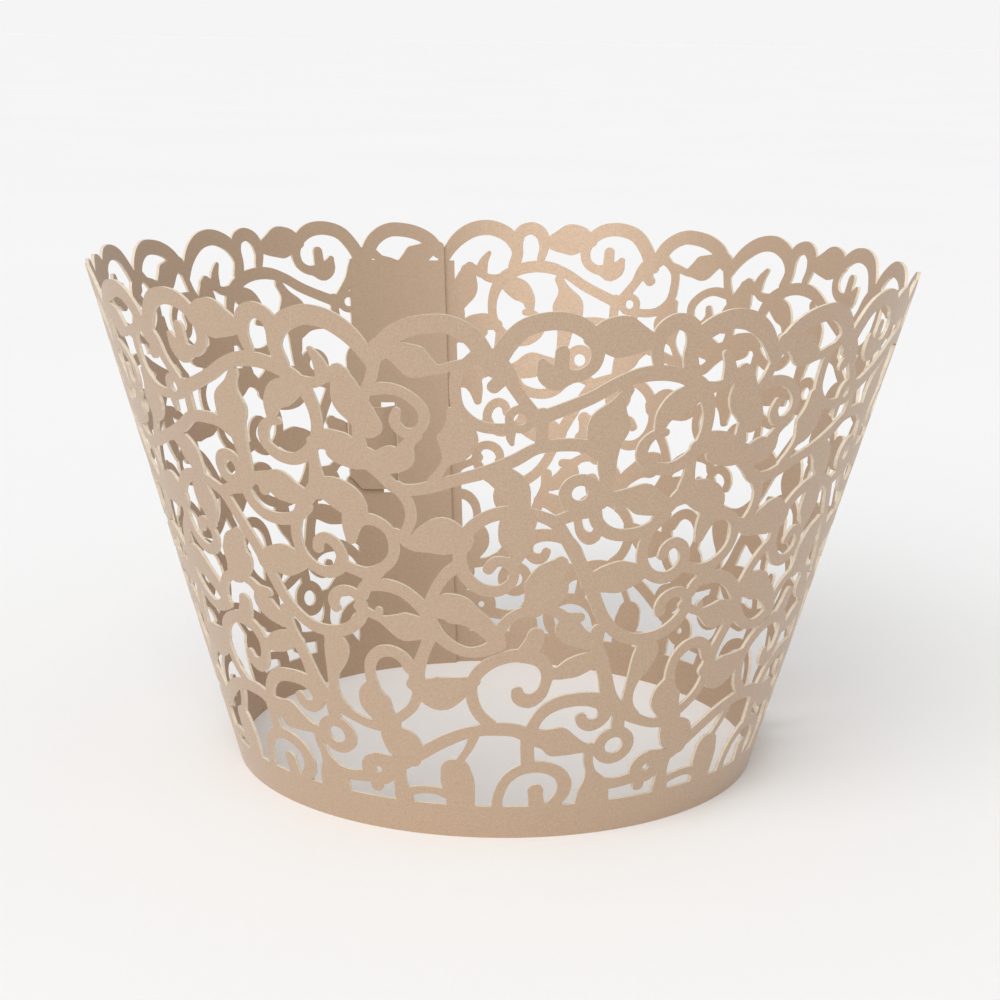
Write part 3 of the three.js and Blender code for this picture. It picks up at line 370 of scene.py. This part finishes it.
    "foot_post": [
        (-2.2, 10.6, 1.2), (-2.15, 9.2, 1.15), (-2, 7.8, 1.2),
    ],
    "heart_leaf": [
        (-2.1, 10.6, 1.6), (-0.9, 10.4, 1.9), (0.3, 10.05, 3), (1.5, 9.6, 2.1), (2.8, 9.2, 1),
        (4, 9, 1),
    ],
    "low_arch": [
        (-2, 10.9, 1.3), (-1.7, 12.1, 1), (-1, 13.2, 1.1), (0.2, 14, 1.3), (1.6, 14.25, 1.3),
        (3, 14.15, 1.4), (4.2, 13.6, 1.6), (4.4, 12.6, 1.3), (4, 11.8, 1.1), (3.2, 11.5, 1.2),
        (2.5, 11.8, 1.1), (2.25, 12.35, 1),
    ],
    "ring_post": [
        (5.7, 12.2, 1.1), (5.7, 11, 1.2),
    ],
    "ring_prop": [
        (3.3, 9.2, 0.9), (3.3, 7.8, 0.8), (3.6, 6.6, 0.9), (4, 5, 2.6), (4, 3, 3.2),
    ],
    "base_beam": [
        (4.2, 5.2, 1.4), (6, 4.95, 1.1), (7.8, 5.1, 1.2),
    ],
    "base_tooth": [
        (8.5, 5, 1.2), (8.4, 4.1, 1.1),
    ],
    "base_side": [
        (11, 6.4, 1.2), (10.8, 5, 1.1), (10.8, 3, 1.6),
    ],
}

# Round eyelets: x, y, outer radius, hole radius.
EYELETS = {
    "ring_upper": (0.35, 34, 1.7, 0.68),
    "ring_lower": (5.5, 9.05, 1.9, 0.83),
    "eye_upper": (-4.85, 40.45, 1.2, 0.5),
    "eye_lower": (8.95, 5.9, 1.6, 0.34),
}

# The camera, as fitted to the photograph: place in metres, angles in radians.
CAMERA_AT = Vector((0.00287, -0.18627, 0.067746))
CAMERA_PITCH = 0.229297  # down
CAMERA_YAW = -0.0147715
CAMERA_ROLL = 0.0162048


class SleeveSettings(bpy.types.PropertyGroup):
    bottom_diameter: bpy.props.FloatProperty(
        name="Bottom diameter",
        description="Outside diameter of the bottom edge",
        default=0.05,
        unit="LENGTH",
    )
    wall_lean: bpy.props.FloatProperty(
        name="Wall lean",
        description="How far the wall leans out from upright",
        default=math.radians(15.69),
        subtype="ANGLE",
    )
    card: bpy.props.FloatProperty(
        name="Card thickness",
        description="Thickness of the card",
        default=0.0003,
        precision=4,
        unit="LENGTH",
    )
    vine: bpy.props.FloatProperty(
        name="Vine width",
        description="Width of a plain stem of the lace",
        default=0.001,
        precision=4,
        unit="LENGTH",
    )
    trace_step: bpy.props.FloatProperty(
        name="Trace step",
        description="Spacing of the samples along a stem",
        default=0.00035,
        precision=5,
        unit="LENGTH",
    )
    card_colour: bpy.props.FloatVectorProperty(
        name="Card colour",
        description="Colour of the pearl card",
        default=(0.445, 0.315, 0.213),
        subtype="COLOR",
        min=0,
        max=1,
    )
    pearl_colour: bpy.props.FloatVectorProperty(
        name="Pearl colour",
        description="Tint of the shimmer on the card",
        default=(0.53, 0.385, 0.272),
        subtype="COLOR",
        min=0,
        max=1,
    )
    # The cut edges are painted paler than the card: partly the core's own colour and partly a painted
    # highlight where the thin edges catch light.
    edge_colour: bpy.props.FloatVectorProperty(
        name="Cut edge colour",
        description="Colour of the core of the card, seen where it is cut",
        default=(0.8, 0.69, 0.55),
        subtype="COLOR",
        min=0,
        max=1,
    )


class StudioSettings(bpy.types.PropertyGroup):
    lens: bpy.props.FloatProperty(
        name="Lens",
        description="Focal length of the camera on a 36 mm sensor",
        default=71.58,
        unit="CAMERA",
    )
    floor_colour: bpy.props.FloatVectorProperty(
        name="Floor colour",
        description="Colour of the plain floor",
        default=(0.94, 0.94, 0.94),
        subtype="COLOR",
        min=0,
        max=1,
    )
    floor_size: bpy.props.FloatProperty(
        name="Floor size",
        description="Width of the plain floor",
        default=60.0,
        unit="LENGTH",
    )
    key_strength: bpy.props.FloatProperty(
        name="Key light",
        description="Strength of the wide soft light, in watts per square metre",
        default=1.9,
    )
    key_softness: bpy.props.FloatProperty(
        name="Key softness",
        description="Angle that the wide soft light takes up, seen from the cup",
        default=math.radians(55),
        subtype="ANGLE",
    )
    surround: bpy.props.FloatProperty(
        name="Surround light",
        description="Brightness of the even light from all round",
        default=0.62,
    )
    backdrop: bpy.props.FloatProperty(
        name="Backdrop",
        description="Shade that the camera sees beyond the floor, where 1 is white",
        default=0.913,
        min=0,
        max=1,
    )


class Cup:
    """The sizes of the sleeve in millimetres, read from the settings."""

    def __init__(self, settings):
        self.lean = settings.wall_lean
        self.card = settings.card / MM
        self.vine = settings.vine / MM
        self.trace_step = settings.trace_step / MM
        self.bottom_radius = settings.bottom_diameter / MM / 2
        self.flat_radius = self.bottom_radius / math.sin(self.lean)
        self.motif_angle = math.tau * math.sin(self.lean) / REPEATS
        self.ends_angle = REPEATS * self.motif_angle / 2

    def on_sheet(self, height, angle):
        """A point of the flat sheet, by its height up the wall and its flat angle from the middle."""
        radius = self.flat_radius + height
        return Vector((radius * math.sin(angle), radius * math.cos(angle)))

    def place_of(self, point):
        """Height, flat angle and length past the joint line of a point of the flat sheet."""
        radius = point.length
        angle = math.atan2(point.x, point.y)
        return radius - self.flat_radius, angle, (angle - self.ends_angle) * radius

    def rolled(self, point, inside):
        """Where a point of the flat sheet comes to lie on the cup, in metres."""
        height, angle, past = self.place_of(point)
        turn = angle / math.sin(self.lean) + MIDDLE_TURN
        thick = self.card / math.cos(self.lean)
        reach = self.bottom_radius + height * math.sin(self.lean) + ply_at(past) * (thick + PLY_GAP)
        if inside:
            reach -= thick
        place = Vector((reach * math.sin(turn), -reach * math.cos(turn), height * math.cos(self.lean)))
        return place * MM


def ply_at(past):
    """How far the sheet stands proud of the cone, in plies, at a length past the joint line: it rises
    smoothly by one ply, and the tab goes down by two between its bends."""
    share = min(max((past + LIFT_RUN) / (LIFT_RUN - STRIP_INSET), 0), 1)
    dive = min(max((past - TAB_BENDS[0]) / (TAB_BENDS[1] - TAB_BENDS[0]), 0), 1)
    return share * share * (3 - 2 * share) - 2 * dive


def tip_rows(row, sense):
    """Rows that round off a stem past its first or last row."""
    middle, ahead, half = row
    rows = []
    for k in range(1, TIP_STEPS):
        turn = math.pi / 2 * k / TIP_STEPS
        reach = sense * half * math.sin(turn)
        rows.append((middle + ahead * reach, ahead, half * math.cos(turn)))
    return rows


def smooth_line(knots, step):
    """Points along a smooth line through the knots, each (x, y, width), about a step apart. It is a
    centripetal Catmull-Rom curve."""
    count = len(knots)
    knot = [Vector(k) for k in knots]

    def segment(i):
        """Both ends of the line from a knot to the next, and how it leaves and arrives."""
        before = knot[i - 1] if i else 2 * knot[0] - knot[1]
        after = knot[i + 2] if i + 2 < count else 2 * knot[-1] - knot[-2]
        start, end = knot[i], knot[i + 1]
        spans = ((before, start), (start, end), (end, after))
        early, middle, late = (math.sqrt(max((b - a).length, TINY)) for a, b in spans)
        leave = (start - before) / early - (end - before) / (early + middle) + (end - start) / middle
        arrive = (end - start) / middle - (after - start) / (middle + late) + (after - end) / late
        return start, end, leave * middle, arrive * middle

    line = []
    for i in range(count - 1):
        start, end, leave, arrive = segment(i)
        parts = max(2, math.ceil((end - start).xy.length / step))
        for k in range(parts):
            t = k / parts
            line.append(
                start * (2 * t**3 - 3 * t**2 + 1)
                + end * (3 * t**2 - 2 * t**3)
                + leave * (t**3 - 2 * t**2 + t)
                + arrive * (t**3 - t**2)
            )
    return line + [knot[-1]]


def stem_rows(points, cup):
    """Pairs of points, right and left, across a stem from one rounded end to the other."""
    knots = []
    width = 1.0
    for x, y, *given in points:
        width = given[0] if given else width
        knots.append((x, y, width * cup.vine))
    line = smooth_line(knots, cup.trace_step)
    rows = []
    for i, point in enumerate(line):
        ahead = line[min(i + 1, len(line) - 1)] - line[max(i - 1, 0)]
        rows.append((point.xy, ahead.xy.normalized(), point.z / 2))
    rows = tip_rows(rows[0], -1)[::-1] + rows + tip_rows(rows[-1], 1)
    pairs = []
    for middle, ahead, half in rows:
        across = Vector((-ahead.y, ahead.x)) * half
        pairs.append((middle - across, middle + across))
    return pairs


class Drawing:
    """The pieces of the cutting on the flat sheet, before they are joined: the lines of their
    outlines, and faces of each kind that show what they cover."""

    def __init__(self):
        self.points = []
        self.lines = []
        self.faces = {"lace": [], "eyelet": [], "card": [], "slit": []}

    def add_line(self, line, closed=False):
        """Add a line through new points, and give the points' numbers."""
        first = len(self.points)
        self.points.extend(line)
        index = list(range(first, len(self.points)))
        self.lines.extend(zip(index, index[1:]))
        if closed:
            self.lines.append((index[-1], index[0]))
        return index

    def add_outline(self, outline, kind):
        """Add a closed outline that is one face of its kind."""
        self.faces[kind].append(self.add_line(outline, closed=True))

    def add_stem(self, pairs, place):
        """Add a stem by the pairs of points across it, each put in its place on the sheet."""
        rights = [place(right) for right, _ in pairs]
        lefts = [place(left) for _, left in pairs]
        index = self.add_line(rights + lefts[::-1], closed=True)
        for i in range(len(pairs) - 1):
            self.faces["lace"].append([index[i], index[i + 1], index[-2 - i], index[-1 - i]])

    def covered(self, kind):
        """A test of whether a point of the sheet lies on a face of that kind, by a ray from above."""
        tree = BVHTree.FromPolygons([point.to_3d() for point in self.points], self.faces[kind])
        down = Vector((0, 0, -1))
        return lambda point: tree.ray_cast(point.to_3d() - down, down)[0] is not None


def circle(x, y, radius):
    """Points round a circle of the motif."""
    turns = (math.tau * i / RING_STEPS for i in range(RING_STEPS))
    return [Vector((x + radius * math.cos(turn), y + radius * math.sin(turn))) for turn in turns]


def plate(cup, angle, left, right, low, high, corner=0):
    """A rectangle whose sides run along and across the wall, measured from a line down the wall."""
    outline = [(left, low), (right - corner, low), (right, low + corner)]
    outline += [(right, high - corner), (right - corner, high), (left, high)]
    turn = Matrix.Rotation(-angle, 2)
    return [turn @ Vector((across, cup.flat_radius + height)) for across, height in outline]


def arc(cup, height):
    """Points along a level line of the sheet, from end to end."""
    steps = math.ceil(2 * cup.ends_angle * cup.flat_radius / FLAT_STEP)
    return [cup.on_sheet(height, cup.ends_angle * (2 * i / steps - 1)) for i in range(steps + 1)]


def drawn(cup):
    """The whole cutting: the motif repeated past both ends, the band, the end strips, tab and slit."""
    drawing = Drawing()
    stems = [stem_rows(points, cup) for points in STEMS.values()]
    for copy in range(-1, REPEATS + 1):
        turn = Matrix.Rotation(-(copy - (REPEATS - 1) / 2) * cup.motif_angle, 2)

        def place(point):
            return turn @ (point + Vector((0, cup.flat_radius)))

        for pairs in stems:
            drawing.add_stem(pairs, place)
        for x, y, outer, hole in EYELETS.values():
            drawing.add_outline([place(point) for point in circle(x, y, outer)], "lace")
            drawing.add_outline([place(point) for point in circle(x, y, hole)], "eyelet")
    drawing.add_outline(arc(cup, 0) + arc(cup, BAND_HEIGHT)[::-1], "card")
    start, end = -cup.ends_angle, cup.ends_angle
    for side in (start, end):
        drawing.add_line([cup.on_sheet(0, side), cup.on_sheet(SHEET_TOP, side)])
    drawing.add_line(arc(cup, 0))
    reach = OVERLAP + SLIT_WIDTH + STRIP_MARGIN
    drawing.add_outline(plate(cup, start, 0, reach, STRIP_FOOT, STRIP_HEIGHT), "card")
    drawing.add_outline(plate(cup, end, -STRIP_INSET, OVERLAP, STRIP_FOOT, STRIP_HEIGHT), "card")
    low, high = TAB_MIDDLE - TAB_WIDTH / 2, TAB_MIDDLE + TAB_WIDTH / 2
    drawing.add_outline(plate(cup, end, 0, OVERLAP + TAB_LENGTH, low, high, TAB_CORNER), "card")
    slit = plate(cup, start, OVERLAP, OVERLAP + SLIT_WIDTH, low - SLIT_CLEARANCE, high + SLIT_CLEARANCE)
    drawing.add_outline(slit, "slit")
    return drawing


def joined(cup, drawing):
    """Points and triangles of the card that is left when every piece of the drawing is joined."""
    points, _, faces, _, _, _ = delaunay_2d_cdt(
        drawing.points, drawing.lines, [], 0, MERGE_WITHIN, False
    )
    on_lace, on_eyelet, on_card, on_slit = (drawing.covered(kind) for kind in drawing.faces)

    def is_card(face):
        middle = sum((points[i] for i in face), Vector((0, 0))) / len(face)
        if on_card(middle):
            return not on_slit(middle)
        height, angle, _ = cup.place_of(middle)
        if height < 0 or abs(angle) > cup.ends_angle:
            return False
        return on_lace(middle) and not on_eyelet(middle)

    return points, [face for face in faces if is_card(face)]


def loops_of(faces):
    """The closed edges of a set of faces, each a list of point numbers."""
    edges = {(a, b) for face in faces for a, b in zip(face, face[1:] + face[:1])}
    leaving = {}
    for a, b in edges:
        if (b, a) not in edges:
            leaving.setdefault(a, []).append(b)
    loops = []
    while leaving:
        start = at = next(iter(leaving))
        loop = []
        while at in leaving:
            loop.append(at)
            to = leaving[at].pop()
            if not leaving[at]:
                del leaving[at]
            at = to
            if at == start:
                break
        loops.append(loop)
    return loops


def eased(line):
    """A closed line without the points that hardly turn it."""
    kept = list(line)
    dropped = True
    while dropped:
        dropped = False
        i = 0
        while i < len(kept) and len(kept) > FEWEST_CORNERS:
            before, here, after = kept[i - 1], kept[i], kept[(i + 1) % len(kept)]
            if abs((here - before).cross(after - before)) / 2 < STRAIGHT:
                del kept[i]
                dropped = True
            i += 1
    return kept


def faceted(cup, loops):
    """Points and triangles inside the loops, with an edge at every column line of the rolled wall."""
    drawing = Drawing()
    for loop in loops:
        drawing.add_line(loop, closed=True)
    outline_count = len(drawing.lines)
    reach = cup.ends_angle + (OVERLAP + TAB_LENGTH) / cup.flat_radius
    for i in range(COLUMNS + 1):
        angle = reach * (2 * i / COLUMNS - 1)
        drawing.add_line([cup.on_sheet(0, angle), cup.on_sheet(SHEET_TOP, angle)])
    for bend in TAB_BENDS:
        line = []
        for height in (TAB_MIDDLE - TAB_WIDTH, TAB_MIDDLE, TAB_MIDDLE + TAB_WIDTH):
            line.append(cup.on_sheet(height, cup.ends_angle + bend / (cup.flat_radius + height)))
        drawing.add_line(line)
    points, edges, faces, _, sources, _ = delaunay_2d_cdt(
        drawing.points, drawing.lines, [], 0, MERGE_WITHIN, True
    )
    outline = {
        frozenset(edge)
        for edge, inputs in zip(edges, sources)
        if sum(1 for i in inputs if i < outline_count) % 2
    }
    return points, inside_of(faces, outline)


def inside_of(faces, outline):
    """The faces inside the outline: the side changes each time that an outline edge is crossed."""
    owners = {}
    for f, face in enumerate(faces):
        for a, b in zip(face, face[1:] + face[:1]):
            owners.setdefault(frozenset((a, b)), []).append(f)
    side = {}
    waiting = []
    for edge, owner in owners.items():
        if len(owner) == 1 and owner[0] not in side:
            side[owner[0]] = edge in outline
            waiting.append(owner[0])
    while waiting:
        f = waiting.pop()
        face = faces[f]
        for a, b in zip(face, face[1:] + face[:1]):
            edge = frozenset((a, b))
            for g in owners[edge]:
                if g not in side:
                    side[g] = side[f] != (edge in outline)
                    waiting.append(g)
    return [face for f, face in enumerate(faces) if side.get(f)]


def sheet_mesh(cup, name):
    """The pierced sheet, rolled and given the thickness of the card."""
    flat_points, card = joined(cup, drawn(cup))
    loops = [eased([flat_points[i] for i in loop]) for loop in loops_of(card)]
    points, faces = faceted(cup, [loop for loop in loops if len(loop) >= LEAST_CORNERS])
    faces = [face for face in map(list, faces) if turned_left(points, face)]
    used = sorted({i for face in faces for i in face})
    number = {i: k for k, i in enumerate(used)}
    faces = [[number[i] for i in face] for face in faces]
    count = len(used)
    corners = [cup.rolled(points[i], inside) for inside in (False, True) for i in used]
    walls = []
    for loop in loops_of(faces):
        for a, b in zip(loop, loop[1:] + loop[:1]):
            walls.append([a, a + count, b + count, b])
    backs = [[i + count for i in reversed(face)] for face in faces]
    mesh = bpy.data.meshes.new(name)
    mesh.from_pydata(corners, [], faces + backs + walls)
    slots = [CARD_SLOT] * (2 * len(faces)) + [EDGE_SLOT] * len(walls)
    mesh.polygons.foreach_set("material_index", slots)
    mesh.shade_smooth()
    mesh.set_sharp_from_angle(angle=SHARP_ANGLE)
    return mesh


def turned_left(points, face):
    """Whether a triangle runs anticlockwise and isn't a sliver."""
    a, b, c = (points[i] for i in face)
    return (b - a).cross(c - a) > SLIVER


def new_material(name):
    """A material made of nodes, and its tree."""
    material = bpy.data.materials.new(name)
    material.use_nodes = True
    return material, material.node_tree


def grain(tree, scale, detail=GRAIN_DETAIL):
    """A noise over the object's own coordinates, in cells per metre."""
    coordinates = tree.nodes.new("ShaderNodeTexCoord")
    noise = tree.nodes.new("ShaderNodeTexNoise")
    noise.inputs["Scale"].default_value = scale
    noise.inputs["Detail"].default_value = detail
    tree.links.new(coordinates.outputs["Object"], noise.inputs["Vector"])
    return noise.outputs["Fac"]


def mottled(tree, source, low, high):
    """A colour that goes from low to high over the middle of a noise."""
    node = tree.nodes.new("ShaderNodeValToRGB")
    stops = ((NOISE_LOW, low), (NOISE_HIGH, high))
    for element, (position, colour) in zip(node.color_ramp.elements, stops):
        element.position = position
        element.color = (*colour, 1)
    tree.links.new(source, node.inputs["Fac"])
    return node.outputs["Color"]


def spread(tree, source, low, high):
    """A value brought from the middle of a noise into a range."""
    node = tree.nodes.new("ShaderNodeMapRange")
    node.inputs["From Min"].default_value = NOISE_LOW
    node.inputs["From Max"].default_value = NOISE_HIGH
    node.inputs["To Min"].default_value = low
    node.inputs["To Max"].default_value = high
    tree.links.new(source, node.inputs["Value"])
    return node.outputs["Result"]


def bumped(tree, source, depth):
    """A normal that dips and rises with a value, by a depth in metres."""
    node = tree.nodes.new("ShaderNodeBump")
    node.inputs["Strength"].default_value = 1
    node.inputs["Distance"].default_value = depth
    tree.links.new(source, node.inputs["Height"])
    return node.outputs["Normal"]


def pearl_card(settings):
    """Coloured card with a pearl shimmer: fine mica flecks in a soft sheen over felt-pressed card."""
    material, tree = new_material("pearl_card")
    shader = tree.nodes["Principled BSDF"]
    flecks = grain(tree, FLECK_SCALE, FLECK_DETAIL)
    colour = mottled(tree, flecks, settings.card_colour, settings.pearl_colour)
    tree.links.new(colour, shader.inputs["Base Color"])
    tree.links.new(spread(tree, flecks, *PEARL_ROUGHNESS), shader.inputs["Roughness"])
    tree.links.new(bumped(tree, grain(tree, FELT_SCALE), FELT_DEPTH), shader.inputs["Normal"])
    shader.inputs["Metallic"].default_value = PEARL_METAL
    shader.inputs["Sheen Weight"].default_value = PEARL_SHEEN
    shader.inputs["Sheen Roughness"].default_value = SHEEN_ROUGHNESS
    return material


def cut_edge(settings):
    """The cut edges of the card: paler, partly the core's own colour and partly painted highlight, matt
    and fibrous.
    """
    material, tree = new_material("cut_edge")
    shader = tree.nodes["Principled BSDF"]
    fibres = grain(tree, FELT_SCALE)
    shaded = [value * FIBRE_SHADE for value in settings.edge_colour]
    tree.links.new(mottled(tree, fibres, shaded, settings.edge_colour), shader.inputs["Base Color"])
    shader.inputs["Roughness"].default_value = EDGE_ROUGHNESS
    return material


class CUP_OT_build_sleeve(bpy.types.Operator):
    """Build the pierced card sleeve in fine facets over its solid"""

    bl_idname = "cup.build_sleeve"
    bl_label = "Build Sleeve"

    def execute(self, context):
        settings = context.scene.cup_sleeve
        cup = Cup(settings)
        mesh = sheet_mesh(cup, "card_lace")
        mesh.materials.append(pearl_card(settings))
        mesh.materials.append(cut_edge(settings))
        piece = bpy.data.objects.new("card_lace", mesh)
        context.scene.collection.objects.link(piece)
        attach(piece, "root")
        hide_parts("wrapper_sheet")
        return {"FINISHED"}


def build_floor(context, settings):
    """A plain pale floor, hardly mottled."""
    half = settings.floor_size / 2
    mesh = bpy.data.meshes.new("floor")
    corners = [(-half, -half, 0), (half, -half, 0), (half, half, 0), (-half, half, 0)]
    mesh.from_pydata(corners, [], [(0, 1, 2, 3)])
    material, tree = new_material("floor_paper")
    shader = tree.nodes["Principled BSDF"]
    patches = grain(tree, FLOOR_SCALE)
    shaded = [value * FLOOR_SHADE for value in settings.floor_colour]
    tree.links.new(mottled(tree, patches, shaded, settings.floor_colour), shader.inputs["Base Color"])
    shader.inputs["Roughness"].default_value = FLOOR_ROUGHNESS
    shader.inputs["Specular IOR Level"].default_value = FLOOR_GLOSS
    mesh.materials.append(material)
    floor = bpy.data.objects.new("floor", mesh)
    context.scene.collection.objects.link(floor)


def build_camera(context, settings):
    """The camera as fitted to the photograph."""
    yaw, pitch, roll = CAMERA_YAW, CAMERA_PITCH, CAMERA_ROLL
    ahead = Vector((math.sin(yaw) * math.cos(pitch), math.cos(yaw) * math.cos(pitch), -math.sin(pitch)))
    level = Vector((math.cos(yaw), -math.sin(yaw), 0))
    upright = level.cross(ahead)
    right = math.cos(roll) * level + math.sin(roll) * upright
    up = math.cos(roll) * upright - math.sin(roll) * level
    data = bpy.data.cameras.new("camera")
    data.sensor_width = SENSOR_WIDTH
    data.lens = settings.lens
    camera = bpy.data.objects.new("camera", data)
    turned = Matrix((right, up, -ahead)).transposed().to_4x4()
    camera.matrix_world = Matrix.Translation(CAMERA_AT) @ turned
    context.scene.collection.objects.link(camera)
    context.scene.camera = camera


def build_key(context, settings):
    """One wide soft light, high in front and to the left, the same over the whole floor."""
    data = bpy.data.lights.new("key", "SUN")
    data.energy = settings.key_strength
    data.angle = settings.key_softness
    light = bpy.data.objects.new("key", data)
    light.rotation_euler = (-KEY_FROM).to_track_quat("-Z", "Y").to_euler()
    context.scene.collection.objects.link(light)


def build_surround(context, settings):
    """Even light from all round, where the camera alone sees a plain shade like the floor's."""
    world = bpy.data.worlds.new("surround")
    context.scene.world = world
    world.use_nodes = True
    tree = world.node_tree
    background = tree.nodes["Background"]
    background.inputs["Color"].default_value = (1, 1, 1, 1)
    background.inputs["Strength"].default_value = settings.surround
    backdrop = tree.nodes.new("ShaderNodeBackground")
    backdrop.inputs["Color"].default_value = (settings.backdrop, settings.backdrop, settings.backdrop, 1)
    path = tree.nodes.new("ShaderNodeLightPath")
    mix = tree.nodes.new("ShaderNodeMixShader")
    tree.links.new(path.outputs["Is Camera Ray"], mix.inputs["Fac"])
    tree.links.new(background.outputs["Background"], mix.inputs[1])
    tree.links.new(backdrop.outputs["Background"], mix.inputs[2])
    tree.links.new(mix.outputs["Shader"], tree.nodes["World Output"].inputs["Surface"])


class CUP_OT_build_studio(bpy.types.Operator):
    """Build the floor, the soft lights and the camera"""

    bl_idname = "cup.build_studio"
    bl_label = "Build Studio"

    def execute(self, context):
        settings = context.scene.cup_studio
        build_floor(context, settings)
        build_camera(context, settings)
        build_surround(context, settings)
        build_key(context, settings)
        context.scene.view_settings.view_transform = "Standard"
        return {"FINISHED"}


class CUP_PT_sidebar(bpy.types.Panel):
    bl_label = "Cupcake Wrapper"
    bl_idname = "CUP_PT_sidebar"
    bl_space_type = "VIEW_3D"
    bl_region_type = "UI"
    bl_category = "Cupcake"

    def draw(self, context):
        """List the settings of each group with its button."""
        for settings, operator in (
            (context.scene.cup_sleeve, CUP_OT_build_sleeve),
            (context.scene.cup_studio, CUP_OT_build_studio),
        ):
            box = self.layout.box()
            for name in settings.__annotations__:
                box.prop(settings, name)
            box.operator(operator.bl_idname)


CLASSES = (SleeveSettings, StudioSettings, CUP_OT_build_sleeve, CUP_OT_build_studio, CUP_PT_sidebar)


def register():
    """Add the classes and both groups of settings."""
    for cls in CLASSES:
        bpy.utils.register_class(cls)
    bpy.types.Scene.cup_sleeve = bpy.props.PointerProperty(type=SleeveSettings)
    bpy.types.Scene.cup_studio = bpy.props.PointerProperty(type=StudioSettings)


def unregister():
    """Take them out again."""
    del bpy.types.Scene.cup_studio
    del bpy.types.Scene.cup_sleeve
    for cls in reversed(CLASSES):
        bpy.utils.unregister_class(cls)


def main():
    """Build the sleeve and its studio with the default settings."""
    register()
    bpy.ops.cup.build_sleeve()
    bpy.ops.cup.build_studio()


if __name__ == "__main__":
    main()
